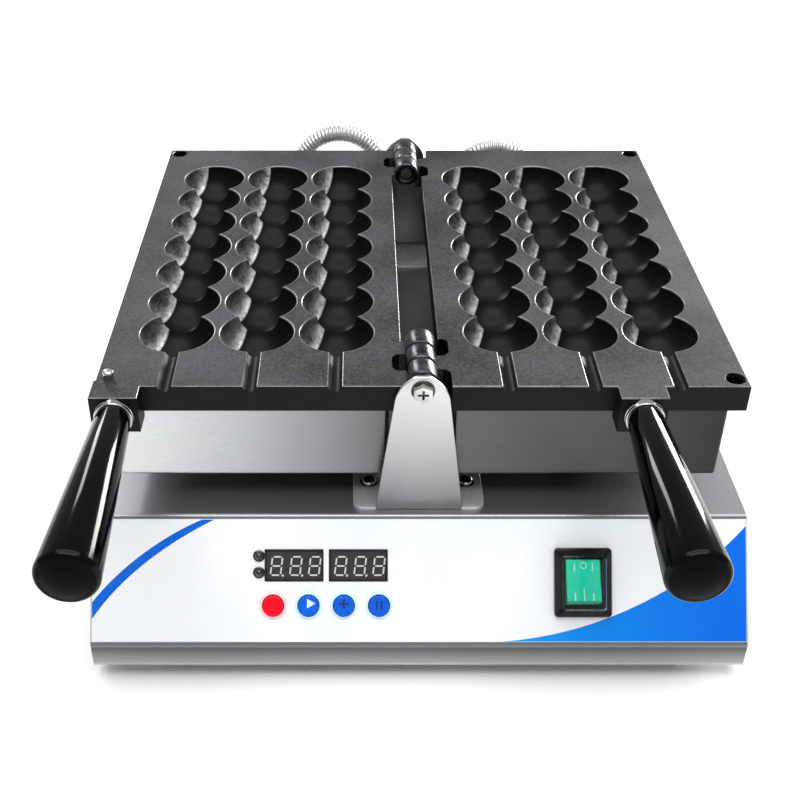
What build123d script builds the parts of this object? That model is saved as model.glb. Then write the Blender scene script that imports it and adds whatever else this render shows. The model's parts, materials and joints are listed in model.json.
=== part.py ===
from build123d import *
import math
import os

# Waffle stick maker: a heated base carries two hinged baking plates that lie open, side by side.
# Frame: +X to the right, +Y to the rear, +Z up, in millimetres. The origin is on the table,
# under the middle of the machine. The hinge line runs along Y, over X = 0.

# Base
base_width = 318.0
deck_behind_plates = 30.0
foot_height = 10.0
skirt_height = 13.1
panel_rise = 50.9
panel_run = 37.5
deck_margin = 7.0
sheet = 1.2
fold_radius = 2.0

# Baking plates, measured from the hinge line and from their front edge
hinge_over_deck = 71.0
plate_length = 270.5
plate_reach = 150.0
plate_inner_edge = 9.0
flange_thickness = 14.0
half_parting_gap = 0.15
flange_corner_radius = 2.0
flange_edge_radius = 0.8
block_depth = 24.0

# Baking channels: overlapping balls and a groove for the stick
ball_diameter = 36.0
ball_pitch = 30.0
balls_in_channel = 7
channel_pitch = 39.0
channels = 3
middle_channel_x = 79.0
first_ball_from_front = 47.0
stick_groove_width = 6.4

# Hinge knuckles and their pins
knuckle_radius = 7.3
knuckle_length = 12.5
knuckle_gap = 0.5
lug_seat_x = 12.7
lug_heel_x = 6.6
lug_tongue_reach = 22.0
lug_tongue_thickness = 8.0
pocket_radius = 3.5
pocket_reach = 13.6
last_pocket_gap = 1.5
pivot_pin_radius = 4.0
pivot_running_fit = 0.05
pivot_pin_recess = 2.0
pivot_head_radius = 5.5
pivot_head_height = 4.0
pivot_head_flange = 1.2
pivot_hexagon_radius = 4.9
cross_recess_length = 5.0
cross_recess_width = 1.1
cross_recess_depth = 2.0
washer_gap = 0.2
knuckle_bore_end_radius = 5.2

# Hinge brackets
bracket_thickness = 2.0
bracket_gap = 2.0
bracket_width_at_pin = 23.8
bracket_width_at_deck = 42.7
bracket_top_over_pin = 7.0
bracket_nose_width = 7.0
bracket_nose_radius = 2.8
bracket_shoulder_radius = 7.0
bracket_foot_width = 64.0
bracket_foot_depth = 34.0
bracket_foot_radius = 5.0
bracket_screw_x = 24.0
bracket_screw_y = 20.0

# Heater casings
casing_outer_x = 144.0
casing_inner_x = 15.0
casing_inset = 5.0
casing_height = 41.7
casing_bend_radius = 2.0
casing_floor_radius = 1.8
casing_fit = 0.3
hinge_zone_clear = 3.0
block_notch_x = 24.0

# Heater stack below each plate
heater_radius = 4.0
heater_leg_x = (30.0, 59.5, 98.5, 128.0)
heater_bend_radius = 10.0
heater_end_margin = 30.0
terminal_radius = 2.0
terminal_length = 12.0
clamp_thickness = 2.0
clamp_fit = 0.1
clamp_leg = 8.0
insulation_thickness = 12.0
insulation_side_margin = 2.0
insulation_end_margin = 8.0
stack_margin = 22.0
probe_radius = 2.5
probe_length = 40.0
probe_tip_gap = 0.5
probe_x = 98.5
probe_depth = 18.5

# Handles
handle_length = 106.0
handle_start_radius = 8.25
handle_end_radius = 13.25
handle_end_dome = 2.5
handle_end_round = 3.0
handle_drop = 9.5
left_handle_inset = 10.0
right_handle_inset = 50.0
handle_bore_depth = 60.0
ferrule_length = 4.0
ferrule_rim = 0.6
boss_width = 22.0
boss_depth = 19.0
boss_reach = 9.5
stud_radius = 3.0
stud_in_boss = 9.0
stud_end_gap = 0.5

# Corner holes and the locating pin
corner_inset = 6.0
corner_hole_radius = 3.65
corner_rim_radius = 4.45
corner_rim_depth = 1.0
corner_hole_depth = 6.0
locating_pin_radius = 2.6
locating_pin_height = 4.5
locating_pin_round = 1.2
pin_seat_depth = 4.0

# Posts and pads that the casings rest on
rest_x = 95.0
rest_from_plate_front = 55.0
rest_from_plate_rear = 55.0
rest_post_radius = 8.0
rest_pad_radius = 7.0
rest_pad_thickness = 3.0
rest_gap = 0.3

# Ribbed hoses and their fittings
hose_radius = 5.5
hose_valley_radius = 4.8
hose_bore_radius = 4.0
rib_pitch = 2.3
left_hose_middle_x = -42.0
left_hose_arc_radius = 28.0
left_hose_arc_drop = 25.0
left_hose_behind_plate = 19.5
right_hose_middle_x = 60.0
right_hose_arc_radius = 25.0
right_hose_arc_drop = 28.6
right_hose_behind_plate = 12.5
fitting_radius = 7.5
fitting_flange_radius = 8.0
fitting_flange_thickness = 2.5
deck_gland_height = 15.0
deck_gland_thread = 7.2
elbow_drop = 47.5
gland_thread_radius = 6.0
gland_nut_thickness = 4.0

# Feet, bottom tray and their screws
foot_radius = 11.0
foot_taper = 1.5
foot_inset = 28.0
foot_bore_depth = 6.0
foot_bore_radius = 4.6
tray_flange_height = 12.0
tray_fit = 0.3
tray_flange_setback = 5.0
side_screw_count = 3
side_screw_margin = 60.0
side_screw_height = 6.5

# Screw sizes: head radius, head height, shank radius
small_screw = (3.6, 2.0, 2.0)
screw_fit = 0.1
screw_dome_share = 0.6
cut_margin = 1.0
plate_screw_length = 8.5
casing_screw_pitch = 54.0
side_screw_length = 7.0
foot_screw_length = 9.0
bracket_screw_length = 10.0
nut_radius = 4.4
nut_height = 3.2

# Control panel, measured up the slope from its lower edge
overlay_thickness = 0.8
overlay_margin = 0.6
display_width = 28.6
display_height = 15.6
display_x = (-60.5, -29.4)
display_v = 38.9
display_body_width = 26.6
display_body_height = 13.6
display_fit = 0.2
led_radius = 2.5
led_x = -77.8
led_v = (43.5, 35.5)
led_proud = 1.0
led_dome_round = 1.6
button_radius = 5.0
button_x = (-70.6, -53.5, -36.4, -19.4)
button_v = 19.6
button_proud = 2.0
button_round = 0.5
button_skirt = 1.4
button_travel = 1.0
button_stem_radius = 2.0
button_fit = 0.35
bezel_radius = 6.2
bezel_height = 0.9
board_depth = 13.0
board_thickness = 1.6
board_width = 84.0
board_height = 44.0
board_x = -46.0
board_v = 31.5
standoff_radius = 2.5
standoff_inset = 3.5
tact_size = 6.0
tact_height = 4.3

# Rocker switch
switch_x = 79.0
switch_v = 30.8
switch_frame_width = 27.8
switch_frame_height = 33.4
switch_frame_proud = 2.4
switch_frame_round = 2.0
switch_frame_edge = 0.8
switch_body_width = 24.0
switch_body_height = 29.6
switch_body_depth = 20.0
switch_wall = 1.4
rocker_width = 16.5
rocker_radius = 11.0
rocker_pivot_depth = 3.0
rocker_depth = 8.0
rocker_crown = 1.8
rocker_valley = 0.7
rocker_tilt = 12.0
rocker_side_fit = 0.35
rocker_pin_radius = 1.5
rocker_pin_length = 1.2
cover_width = 21.7
cover_height = 26.3
cover_rise = 6.4
cover_wall = 0.8
cover_round = 2.2
cover_edge = 1.2
blade_size = (6.3, 0.8, 9.0)

# Parts on the tray
relay_size = (28.0, 44.0, 30.0)
relay_round = 1.0
relay_places = ((-95.0, 20.0), (-55.0, 20.0))
terminal_block_size = (70.0, 18.0, 16.0)
terminal_block_place = (40.0, 90.0)
terminal_ways = 6
terminal_well_radius = 2.2
terminal_well_depth = 6.0
earth_stud_place = (95.0, 120.0)
earth_stud_radius = 2.5
earth_stud_height = 16.0
mains_gland_x = 100.0
mains_gland_reach = 12.0
mains_gland_radius = 9.0
mains_gland_bore = 4.5
mains_gland_cap_radius = 7.0
mains_gland_round = 1.5
mains_gland_thread = 9.2

# Places worked out from the driving sizes
handle_reach = boss_reach + ferrule_length + handle_length
base_behind_plate_front = plate_length + deck_behind_plates
left_handle_x = plate_reach - left_handle_inset
right_handle_x = plate_reach - right_handle_inset
plate_front = (handle_reach - base_behind_plate_front - mains_gland_reach) / 2
plate_rear = plate_front + plate_length
plate_middle = (plate_front + plate_rear) / 2
deck_front = plate_front - deck_margin
base_front = deck_front - panel_run
base_rear = plate_front + base_behind_plate_front
skirt_top = foot_height + skirt_height
deck_z = skirt_top + panel_rise
hinge_z = deck_z + hinge_over_deck
face_z = hinge_z - half_parting_gap
flange_under = hinge_z - flange_thickness
block_under = hinge_z - block_depth
casing_under = flange_under - casing_height
casing_front = plate_front + casing_inset
casing_rear = plate_rear - casing_inset
rear_wall_stack = casing_inset + sheet + casing_fit
knuckle_step = knuckle_length + knuckle_gap
lug_screw_x = (lug_seat_x + lug_tongue_reach) / 2
hinge_zone = 3 * knuckle_step
casing_screw_z = (flange_under + block_under) / 2
casing_screw_places = [plate_middle + k * casing_screw_pitch for k in (-1, 0, 1)]
heater_z = block_under - heater_radius - clamp_fit
clamp_top = heater_z - heater_radius - clamp_fit
clamp_under = clamp_top - clamp_thickness
handle_z = hinge_z - handle_drop
bracket_inner = plate_front - bracket_gap
bracket_outer = bracket_inner - bracket_thickness
tray_top = foot_height + sheet
mains_gland_z = (deck_z + foot_height) / 2
rest_pad_top = casing_under - rest_gap
elbow_z = hinge_z - elbow_drop
panel_angle = math.degrees(math.atan2(panel_rise, panel_run))
panel_length = math.hypot(panel_rise, panel_run)
panel_up = Vector(0, math.cos(math.radians(panel_angle)), math.sin(math.radians(panel_angle)))
panel_out = Vector(0, -panel_up.Z, panel_up.Y)
near = 0.01
LEFT = -1
RIGHT = 1

os.makedirs("parts", exist_ok=True)


def save(piece, name):
    """Label a finished piece and write it as its own STEP file."""
    piece.part.label = name
    export_step(piece.part, f"parts/{name}.step")


def on_panel(x=0.0, v=0.0, out=0.0):
    """The plane on the sloped panel at x and v up the slope, raised along the panel's normal."""
    origin = Vector(x, base_front, skirt_top) + panel_up * v + panel_out * out
    return Plane(origin=origin, x_dir=(1, 0, 0), z_dir=panel_out)


def facing(origin, direction, x_dir=None):
    """A plane at origin whose normal points along direction."""
    return Plane(origin=origin, x_dir=x_dir, z_dir=direction)


def ridge(radius, height, plane, hollow=0.0):
    """A plain round boss on a plane, with an optional bore."""
    with BuildPart() as boss:
        with BuildSketch(plane):
            Circle(radius)
            if hollow:
                Circle(hollow, mode=Mode.SUBTRACT)
        extrude(amount=height)
    return boss.part


def screw(plane, size, length):
    """A domed screw: its head stands on the plane and its shank goes in against the normal."""
    head_radius, head_height, shank_radius = size
    with BuildPart() as fastener:
        with BuildSketch(plane):
            Circle(head_radius)
        extrude(amount=head_height)
        fillet(fastener.faces().sort_by(Axis(plane.origin, plane.z_dir))[-1].edges(), head_height * screw_dome_share)
        with BuildSketch(plane):
            Circle(shank_radius)
        extrude(amount=-length)
    return fastener.part


def hexagon(radius, height, plane, hollow=0.0):
    """A hexagonal nut on a plane."""
    with BuildPart() as nut:
        with BuildSketch(plane):
            RegularPolygon(radius, 6)
            if hollow:
                Circle(hollow, mode=Mode.SUBTRACT)
        extrude(amount=height)
    return nut.part


def outermost(piece, count=1):
    """The faces of a piece that stand furthest out of the sloped panel."""
    return piece.faces().sort_by(Axis((0, 0, 0), panel_out))[-count:]


def group(name, pieces):
    """Save several separate solids as one piece."""
    with BuildPart() as together:
        add(pieces)
    save(together, name)


# Base shell: folded sheet, open below, with cut-outs in the panel, the deck and the rear wall
bracket_screw_places = [
    (x, y)
    for x in (-bracket_screw_x, bracket_screw_x)
    for y in (bracket_outer + bracket_screw_y, 2 * plate_middle - bracket_outer - bracket_screw_y)
]
hoses = (
    (LEFT, left_hose_middle_x, left_hose_arc_radius, left_hose_arc_drop, left_hose_behind_plate),
    (RIGHT, right_hose_middle_x, right_hose_arc_radius, right_hose_arc_drop, right_hose_behind_plate),
)


def gland_place(side, middle_x, arc_radius, behind):
    """Where a hose goes into the deck: the end of its arc that lies nearer the hinge."""
    return middle_x - side * arc_radius, plate_rear + behind


def elbow_place(side, middle_x, arc_radius, behind):
    """Where a hose meets the elbow on its casing: the outer end of its arc."""
    return middle_x + side * arc_radius, plate_rear + behind


gland_places = [gland_place(side, x, r, behind) for side, x, r, drop, behind in hoses]
side_screw_span = base_rear - base_front - 2 * side_screw_margin
side_screw_places = [
    base_front + side_screw_margin + side_screw_span * i / (side_screw_count - 1)
    for i in range(side_screw_count)
]

with BuildPart() as base_shell:
    with BuildSketch(Plane.YZ):
        with BuildLine():
            Polyline(
                (base_front, foot_height + sheet),
                (base_front, skirt_top),
                (deck_front, deck_z),
                (base_rear, deck_z),
                (base_rear, foot_height + sheet),
                close=True,
            )
        make_face()
    extrude(amount=base_width / 2, both=True)
    fillet(base_shell.edges().filter_by(Axis.X).filter_by(lambda e: e.center().Z > skirt_top - fold_radius), fold_radius)
    offset(amount=-sheet, openings=base_shell.faces().sort_by(Axis.Z)[0])
    with BuildSketch(on_panel(out=cut_margin)):
        with Locations(*[(x, display_v) for x in display_x]):
            Rectangle(display_body_width, display_body_height)
        with Locations(*[(led_x, v) for v in led_v]):
            Circle(led_radius + screw_fit)
        with Locations(*[(x, button_v) for x in button_x]):
            Circle(button_radius + button_fit)
        with Locations((switch_x, switch_v)):
            Rectangle(switch_body_width + 2 * screw_fit, switch_body_height + 2 * screw_fit)
    extrude(amount=-sheet - 2 * cut_margin, mode=Mode.SUBTRACT)
    with BuildSketch(Plane.XY.offset(deck_z + cut_margin)):
        with Locations(*bracket_screw_places):
            Circle(small_screw[2] + screw_fit)
        with Locations(*gland_places):
            Circle(gland_thread_radius + screw_fit)
    extrude(amount=-sheet - 2 * cut_margin, mode=Mode.SUBTRACT)
    with BuildSketch(facing((mains_gland_x, base_rear + cut_margin, mains_gland_z), (0, 1, 0))):
        Circle(gland_thread_radius + screw_fit)
    extrude(amount=-sheet - 2 * cut_margin, mode=Mode.SUBTRACT)
    with BuildSketch(Plane.YZ):
        with Locations(*[(y, tray_top + side_screw_height) for y in side_screw_places]):
            Circle(small_screw[2] + screw_fit)
    extrude(amount=base_width, both=True, mode=Mode.SUBTRACT)
save(base_shell, "base_shell")

# Bottom tray with upturned side flanges, inside the shell's side walls
tray_half_width = base_width / 2 - sheet - tray_fit
with BuildPart() as bottom_plate:
    with BuildSketch(Plane.XY.offset(foot_height)):
        with Locations((0, (base_front + base_rear) / 2)):
            Rectangle(base_width, base_rear - base_front)
    extrude(amount=sheet)
    for side in (LEFT, RIGHT):
        with BuildSketch(Plane.XY.offset(tray_top)):
            with Locations((side * (tray_half_width - sheet / 2), (base_front + base_rear) / 2)):
                Rectangle(sheet, base_rear - base_front - 2 * tray_flange_setback)
        extrude(amount=tray_flange_height)
    foot_places = [
        (x, y)
        for x in (-base_width / 2 + foot_inset, base_width / 2 - foot_inset)
        for y in (base_front + foot_inset, base_rear - foot_inset)
    ]
    with BuildSketch(Plane.XY.offset(foot_height)):
        with Locations(*foot_places):
            Circle(small_screw[2] + screw_fit)
    extrude(amount=sheet, mode=Mode.SUBTRACT)
    with BuildSketch(Plane.YZ):
        with Locations(*[(y, tray_top + side_screw_height) for y in side_screw_places]):
            Circle(small_screw[2] + screw_fit)
    extrude(amount=base_width, both=True, mode=Mode.SUBTRACT)
save(bottom_plate, "bottom_plate")

side_screws = [
    screw(facing((side * base_width / 2, y, tray_top + side_screw_height), (side, 0, 0)), small_screw, side_screw_length)
    for side in (LEFT, RIGHT)
    for y in side_screw_places
]
group("bottom_screws", side_screws)

# Rubber feet, each held by a screw in its recess
foot_taper_angle = math.degrees(math.atan2(foot_taper, foot_height))
with BuildPart() as feet:
    with BuildSketch():
        with Locations(*foot_places):
            Circle(foot_radius - foot_taper)
    extrude(amount=foot_height, taper=-foot_taper_angle)
    with BuildSketch():
        with Locations(*foot_places):
            Circle(foot_bore_radius)
    extrude(amount=foot_bore_depth, mode=Mode.SUBTRACT)
    with BuildSketch():
        with Locations(*foot_places):
            Circle(small_screw[2] + screw_fit)
    extrude(amount=foot_height, mode=Mode.SUBTRACT)
save(feet, "feet")
group(
    "foot_screws",
    [screw(facing((x, y, foot_bore_depth), (0, 0, -1)), small_screw, foot_screw_length) for x, y in foot_places],
)

# Panel overlay: a glossy sheet on the slope
with BuildPart() as control_overlay:
    with BuildSketch(on_panel(v=panel_length / 2)):
        Rectangle(base_width - 2 * overlay_margin, panel_length - 2 * fold_radius)
    extrude(amount=overlay_thickness)
    with BuildSketch(on_panel(out=-cut_margin)):
        with Locations(*[(x, display_v) for x in display_x]):
            Rectangle(display_width, display_height)
        with Locations(*[(led_x, v) for v in led_v]):
            Circle(led_radius + screw_fit)
        with Locations(*[(x, button_v) for x in button_x]):
            Circle(button_radius + button_fit)
        with Locations((switch_x, switch_v)):
            Rectangle(switch_body_width + 2 * screw_fit, switch_body_height + 2 * screw_fit)
    extrude(amount=overlay_thickness + 2 * cut_margin, mode=Mode.SUBTRACT)
save(control_overlay, "control_overlay")

# Display modules: a bezel flush with the overlay and a body that reaches back to the board
board_face = -sheet - board_depth
with BuildPart() as display_modules:
    with BuildSketch(on_panel()):
        with Locations(*[(x, display_v) for x in display_x]):
            Rectangle(display_width - 2 * display_fit, display_height - 2 * display_fit)
    extrude(amount=overlay_thickness)
    with BuildSketch(on_panel(out=board_face)):
        with Locations(*[(x, display_v) for x in display_x]):
            Rectangle(display_body_width - 2 * display_fit, display_body_height - 2 * display_fit)
    extrude(amount=-board_face)
save(display_modules, "display_modules")

# Indicator lamps: domed cylinders from the board to just above the overlay
with BuildPart() as status_leds:
    with BuildSketch(on_panel(out=board_face)):
        with Locations(*[(led_x, v) for v in led_v]):
            Circle(led_radius)
    extrude(amount=-board_face + overlay_thickness + led_proud)
    fillet(outermost(status_leds, len(led_v)).edges(), led_dome_round)
save(status_leds, "status_leds")

# Buttons: a round cap that stands through its ring, with a stem down to the switch behind it
tact_top = board_face + tact_height
with BuildPart() as button_bezels:
    with BuildSketch(on_panel(out=overlay_thickness)):
        with Locations(*[(x, button_v) for x in button_x]):
            Circle(bezel_radius)
            Circle(button_radius + button_fit, mode=Mode.SUBTRACT)
    extrude(amount=bezel_height)
save(button_bezels, "button_bezels")

for name, x in zip(("red_button", "start_button", "add_button", "blue_button"), button_x):
    with BuildPart() as button:
        with BuildSketch(on_panel(x, button_v, -button_skirt)):
            Circle(button_radius)
        extrude(amount=button_skirt + overlay_thickness + button_proud)
        fillet(outermost(button).edges(), button_round)
        with BuildSketch(on_panel(x, button_v, tact_top + button_travel + screw_fit)):
            Circle(button_stem_radius)
        extrude(amount=-button_skirt - tact_top - button_travel - screw_fit)
    save(button, name)

# Control board behind the panel, on four posts, with a small switch behind each button
with BuildPart() as control_board:
    with BuildSketch(on_panel(board_x, board_v, board_face)):
        Rectangle(board_width, board_height)
    extrude(amount=-board_thickness)
save(control_board, "control_board")

standoff_places = [
    (board_x + i * (board_width / 2 - standoff_inset), board_v + j * (board_height / 2 - standoff_inset))
    for i in (-1, 1)
    for j in (-1, 1)
]
group(
    "board_standoffs",
    [ridge(standoff_radius, board_depth, on_panel(x, v, board_face)) for x, v in standoff_places],
)
with BuildPart() as tact_switches:
    with BuildSketch(on_panel(out=board_face)):
        with Locations(*[(x, button_v) for x in button_x]):
            Rectangle(tact_size, tact_size)
    extrude(amount=tact_height)
save(tact_switches, "tact_switches")

# Rocker switch: framed housing, tilting rocker and clear splash cover
frame_base = overlay_thickness
frame_top = frame_base + switch_frame_proud
opening_width = rocker_width + 2 * rocker_side_fit
opening_height = 2 * (rocker_radius + rocker_side_fit)
pivot_out = frame_top - rocker_pivot_depth
with BuildPart() as switch_body:
    with BuildSketch(on_panel(switch_x, switch_v, frame_base)):
        RectangleRounded(switch_frame_width, switch_frame_height, switch_frame_round)
    extrude(amount=switch_frame_proud)
    fillet(outermost(switch_body).edges(), switch_frame_edge)
    with BuildSketch(on_panel(switch_x, switch_v, frame_base)):
        Rectangle(switch_body_width, switch_body_height)
    extrude(amount=-switch_body_depth - frame_base)
    with BuildSketch(on_panel(switch_x, switch_v, frame_top)):
        Rectangle(opening_width, opening_height)
    extrude(amount=switch_wall - frame_top - switch_body_depth, mode=Mode.SUBTRACT)
    rocker_pin_plane = facing(on_panel(switch_x, switch_v, pivot_out).origin, (1, 0, 0))
    with BuildSketch(rocker_pin_plane):
        Circle(rocker_pin_radius + pivot_running_fit)
    extrude(amount=opening_width / 2 + rocker_pin_length, both=True, mode=Mode.SUBTRACT)
    for k in (-1, 0, 1):
        with BuildSketch(on_panel(switch_x, switch_v + k * switch_body_height / 3, -switch_body_depth)):
            Rectangle(blade_size[0], blade_size[1])
        extrude(amount=-blade_size[2])
save(switch_body, "switch_body")


def rocker_plane():
    """The rocker's own plane across its pivot, tilted to the position in which it is stored."""
    origin = on_panel(switch_x, switch_v, pivot_out).origin
    tilt = math.radians(-rocker_tilt)
    up = panel_up * math.cos(tilt) + panel_out * math.sin(tilt)
    return Plane(origin=origin, x_dir=up, z_dir=(1, 0, 0))


with BuildPart() as power_rocker:
    crown = rocker_pivot_depth + rocker_crown
    valley = rocker_pivot_depth + rocker_valley
    half_chord = math.sqrt(rocker_radius**2 - crown**2)
    low_chord = math.sqrt(rocker_radius**2 - rocker_depth**2)
    with BuildSketch(rocker_plane()):
        with BuildLine():
            Polyline((-half_chord, crown), (0, valley), (half_chord, crown))
            ThreePointArc((half_chord, crown), (rocker_radius, 0), (low_chord, -rocker_depth))
            Line((low_chord, -rocker_depth), (-low_chord, -rocker_depth))
            ThreePointArc((-low_chord, -rocker_depth), (-rocker_radius, 0), (-half_chord, crown))
        make_face()
    extrude(amount=rocker_width / 2, both=True)
    with BuildSketch(rocker_plane()):
        Circle(rocker_pin_radius)
    extrude(amount=opening_width / 2 + rocker_pin_length - screw_fit, both=True)
save(power_rocker, "power_rocker")

with BuildPart() as switch_cover:
    with BuildSketch(on_panel(switch_x, switch_v, frame_top)):
        RectangleRounded(cover_width, cover_height, cover_round)
    extrude(amount=cover_rise)
    fillet(outermost(switch_cover).edges(), cover_edge)
    offset(
        amount=-cover_wall,
        openings=switch_cover.faces().sort_by(Axis((0, 0, 0), panel_out))[0],
    )
save(switch_cover, "switch_cover")

# Hinge brackets: a tapered upright with a folded foot, one in front of the plates and one behind
for name, mirrored in (("front_hinge_bracket", False), ("rear_hinge_bracket", True)):
    with BuildPart() as bracket:
        shoulder = bracket_width_at_pin / 2
        nose = bracket_nose_width / 2
        top = hinge_z + bracket_top_over_pin
        with BuildSketch(facing((0, bracket_outer, 0), (0, 1, 0), (-1, 0, 0))):
            with BuildLine():
                Polyline(
                    (-bracket_width_at_deck / 2, deck_z),
                    (bracket_width_at_deck / 2, deck_z),
                    (shoulder, hinge_z),
                    (nose, top),
                    (-nose, top),
                    (-shoulder, hinge_z),
                    close=True,
                )
            make_face()
        extrude(amount=bracket_thickness)
        fillet(
            bracket.edges().filter_by(Axis.Y).filter_by(lambda e: abs(e.center().Z - hinge_z) < near),
            bracket_shoulder_radius,
        )
        fillet(bracket.edges().filter_by(Axis.Y).filter_by(lambda e: e.center().Z > top - near), bracket_nose_radius)
        with BuildSketch(Plane.XY.offset(deck_z)):
            with Locations((0, bracket_outer + bracket_foot_depth / 2)):
                Rectangle(bracket_foot_width, bracket_foot_depth)
        extrude(amount=bracket_thickness)
        foot_corners = bracket.edges().filter_by(Axis.Z).filter_by(
            lambda e: abs(abs(e.center().X) - bracket_foot_width / 2) < near
        )
        fillet(foot_corners, bracket_foot_radius)
        with BuildSketch(facing((0, bracket_outer - cut_margin, hinge_z), (0, 1, 0))):
            Circle(pivot_pin_radius + pivot_running_fit)
        extrude(amount=bracket_thickness + 2 * cut_margin, mode=Mode.SUBTRACT)
        with BuildSketch(Plane.XY.offset(deck_z)):
            with Locations(*[(x, bracket_outer + bracket_screw_y) for x in (-bracket_screw_x, bracket_screw_x)]):
                Circle(small_screw[2] + screw_fit)
        extrude(amount=bracket_thickness, mode=Mode.SUBTRACT)
        if mirrored:
            mirror(about=Plane.XZ.offset(-plate_middle), mode=Mode.REPLACE)
    save(bracket, name)

bracket_top = deck_z + bracket_thickness
group(
    "bracket_screws",
    [screw(facing((x, y, bracket_top), (0, 0, 1)), small_screw, bracket_screw_length) for x, y in bracket_screw_places],
)
group(
    "bracket_nuts",
    [
        hexagon(nut_radius, nut_height, facing((x, y, deck_z - sheet), (0, 0, -1)), small_screw[2] + screw_fit)
        for x, y in bracket_screw_places
    ],
)


# Hinge pins: shoulder screws through the brackets, each into three knuckles
def hinge_pin(name, face, inwards):
    """A pivot screw whose head stands on a bracket's outer face and points away from the plates."""
    reach = bracket_thickness + bracket_gap + hinge_zone - knuckle_gap - pivot_pin_recess
    outwards = facing((0, face, hinge_z), (0, -inwards, 0))
    with BuildPart() as pin:
        with BuildSketch(outwards):
            Circle(pivot_head_radius)
        extrude(amount=pivot_head_flange)
        with BuildSketch(outwards):
            RegularPolygon(pivot_hexagon_radius, 6)
        extrude(amount=pivot_head_height)
        with BuildSketch(outwards):
            Circle(pivot_pin_radius)
        extrude(amount=-reach)
        with BuildSketch(facing((0, face - inwards * pivot_head_height, hinge_z), (0, inwards, 0))):
            Rectangle(cross_recess_length, cross_recess_width)
            Rectangle(cross_recess_width, cross_recess_length)
        extrude(amount=cross_recess_depth, mode=Mode.SUBTRACT)
    save(pin, name)


hinge_pin("front_hinge_pin", bracket_outer, 1)
hinge_pin("rear_hinge_pin", 2 * plate_middle - bracket_outer, -1)
washer_thickness = bracket_gap + knuckle_gap - washer_gap
group(
    "pivot_washers",
    [
        ridge(
            pivot_head_radius,
            washer_thickness,
            facing((0, y, hinge_z), (0, way, 0)),
            pivot_pin_radius + pivot_running_fit,
        )
        for y, way in ((bracket_inner, 1), (2 * plate_middle - bracket_inner, -1))
    ],
)

# Posts on the deck, with silicone pads, that the casings rest on
rest_places = [
    (side * rest_x, y)
    for side in (LEFT, RIGHT)
    for y in (plate_front + rest_from_plate_front, plate_rear - rest_from_plate_rear)
]
rest_post_top = rest_pad_top - rest_pad_thickness
group(
    "plate_rests",
    [ridge(rest_post_radius, rest_post_top - deck_z, Plane((x, y, deck_z))) for x, y in rest_places],
)
group(
    "rest_pads",
    [ridge(rest_pad_radius, rest_pad_thickness, Plane((x, y, rest_post_top))) for x, y in rest_places],
)

# Deck connectors for the hoses, with their lock nuts under the deck
gland_top = deck_z + deck_gland_height
gland_solids = []
for x, y in gland_places:
    gland_solids.append(
        ridge(fitting_flange_radius, fitting_flange_thickness, Plane((x, y, deck_z)), hose_bore_radius)
        + ridge(
            fitting_radius,
            deck_gland_height - fitting_flange_thickness,
            Plane((x, y, deck_z + fitting_flange_thickness)),
            hose_bore_radius,
        )
        + ridge(gland_thread_radius, deck_gland_thread, facing((x, y, deck_z), (0, 0, -1)), hose_bore_radius)
    )
    gland_solids.append(
        hexagon(
            fitting_flange_radius,
            gland_nut_thickness,
            facing((x, y, deck_z - sheet), (0, 0, -1)),
            gland_thread_radius + screw_fit,
        )
    )
group("deck_glands", gland_solids)


# Ribbed hoses: an arch from each casing's elbow to the deck
def hose_sections(side, middle_x, arc_radius, arc_drop, y):
    """Points along a hose with the direction at each, a quarter of a rib apart: leg, arch, leg."""
    elbow_x = middle_x + side * arc_radius
    arc_z = hinge_z - arc_drop
    outer_leg = 2 * hose_radius
    inner_leg = arc_z - gland_top
    total = outer_leg + math.pi * arc_radius + inner_leg
    ribs = round(total / rib_pitch)
    sections = []
    for i in range(4 * ribs + 1):
        s = total * i / (4 * ribs)
        if s < outer_leg:
            place = Vector(elbow_x, y, arc_z - outer_leg + s)
            way = Vector(0, 0, 1)
        elif s < outer_leg + math.pi * arc_radius:
            turn = (s - outer_leg) / arc_radius
            place = Vector(middle_x + side * arc_radius * math.cos(turn), y, arc_z + arc_radius * math.sin(turn))
            way = Vector(-side * math.sin(turn), 0, math.cos(turn))
        else:
            place = Vector(middle_x - side * arc_radius, y, arc_z - (s - outer_leg - math.pi * arc_radius))
            way = Vector(0, 0, -1)
        sections.append((place, way))
    return sections, total, ribs


for side, middle_x, arc_radius, arc_drop, behind in hoses:
    name = "left_hose" if side == LEFT else "right_hose"
    sections, total, ribs = hose_sections(side, middle_x, arc_radius, arc_drop, plate_rear + behind)
    with BuildPart() as hose:
        for i, (place, way) in enumerate(sections):
            crest = i % 4 in (1, 2)
            with BuildSketch(Plane(origin=place, x_dir=(0, 1, 0), z_dir=way)):
                Circle(hose_radius if crest else hose_valley_radius)
        loft(ruled=True)
        elbow_x = middle_x + side * arc_radius
        gland_x = middle_x - side * arc_radius
        arc_z = hinge_z - arc_drop
        y = plate_rear + behind
        with BuildLine():
            Line((elbow_x, y, arc_z - 2 * hose_radius), (elbow_x, y, arc_z))
            ThreePointArc((elbow_x, y, arc_z), (middle_x, y, arc_z + arc_radius), (gland_x, y, arc_z))
            Line((gland_x, y, arc_z), (gland_x, y, gland_top))
        with BuildSketch(Plane((elbow_x, y, arc_z - 2 * hose_radius))):
            Circle(hose_bore_radius)
        sweep(mode=Mode.SUBTRACT)
    print(name, "length", round(total, 1), "ribs", ribs, "arch radius", arc_radius, "volume", round(hose.part.volume))
    save(hose, name)


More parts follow.
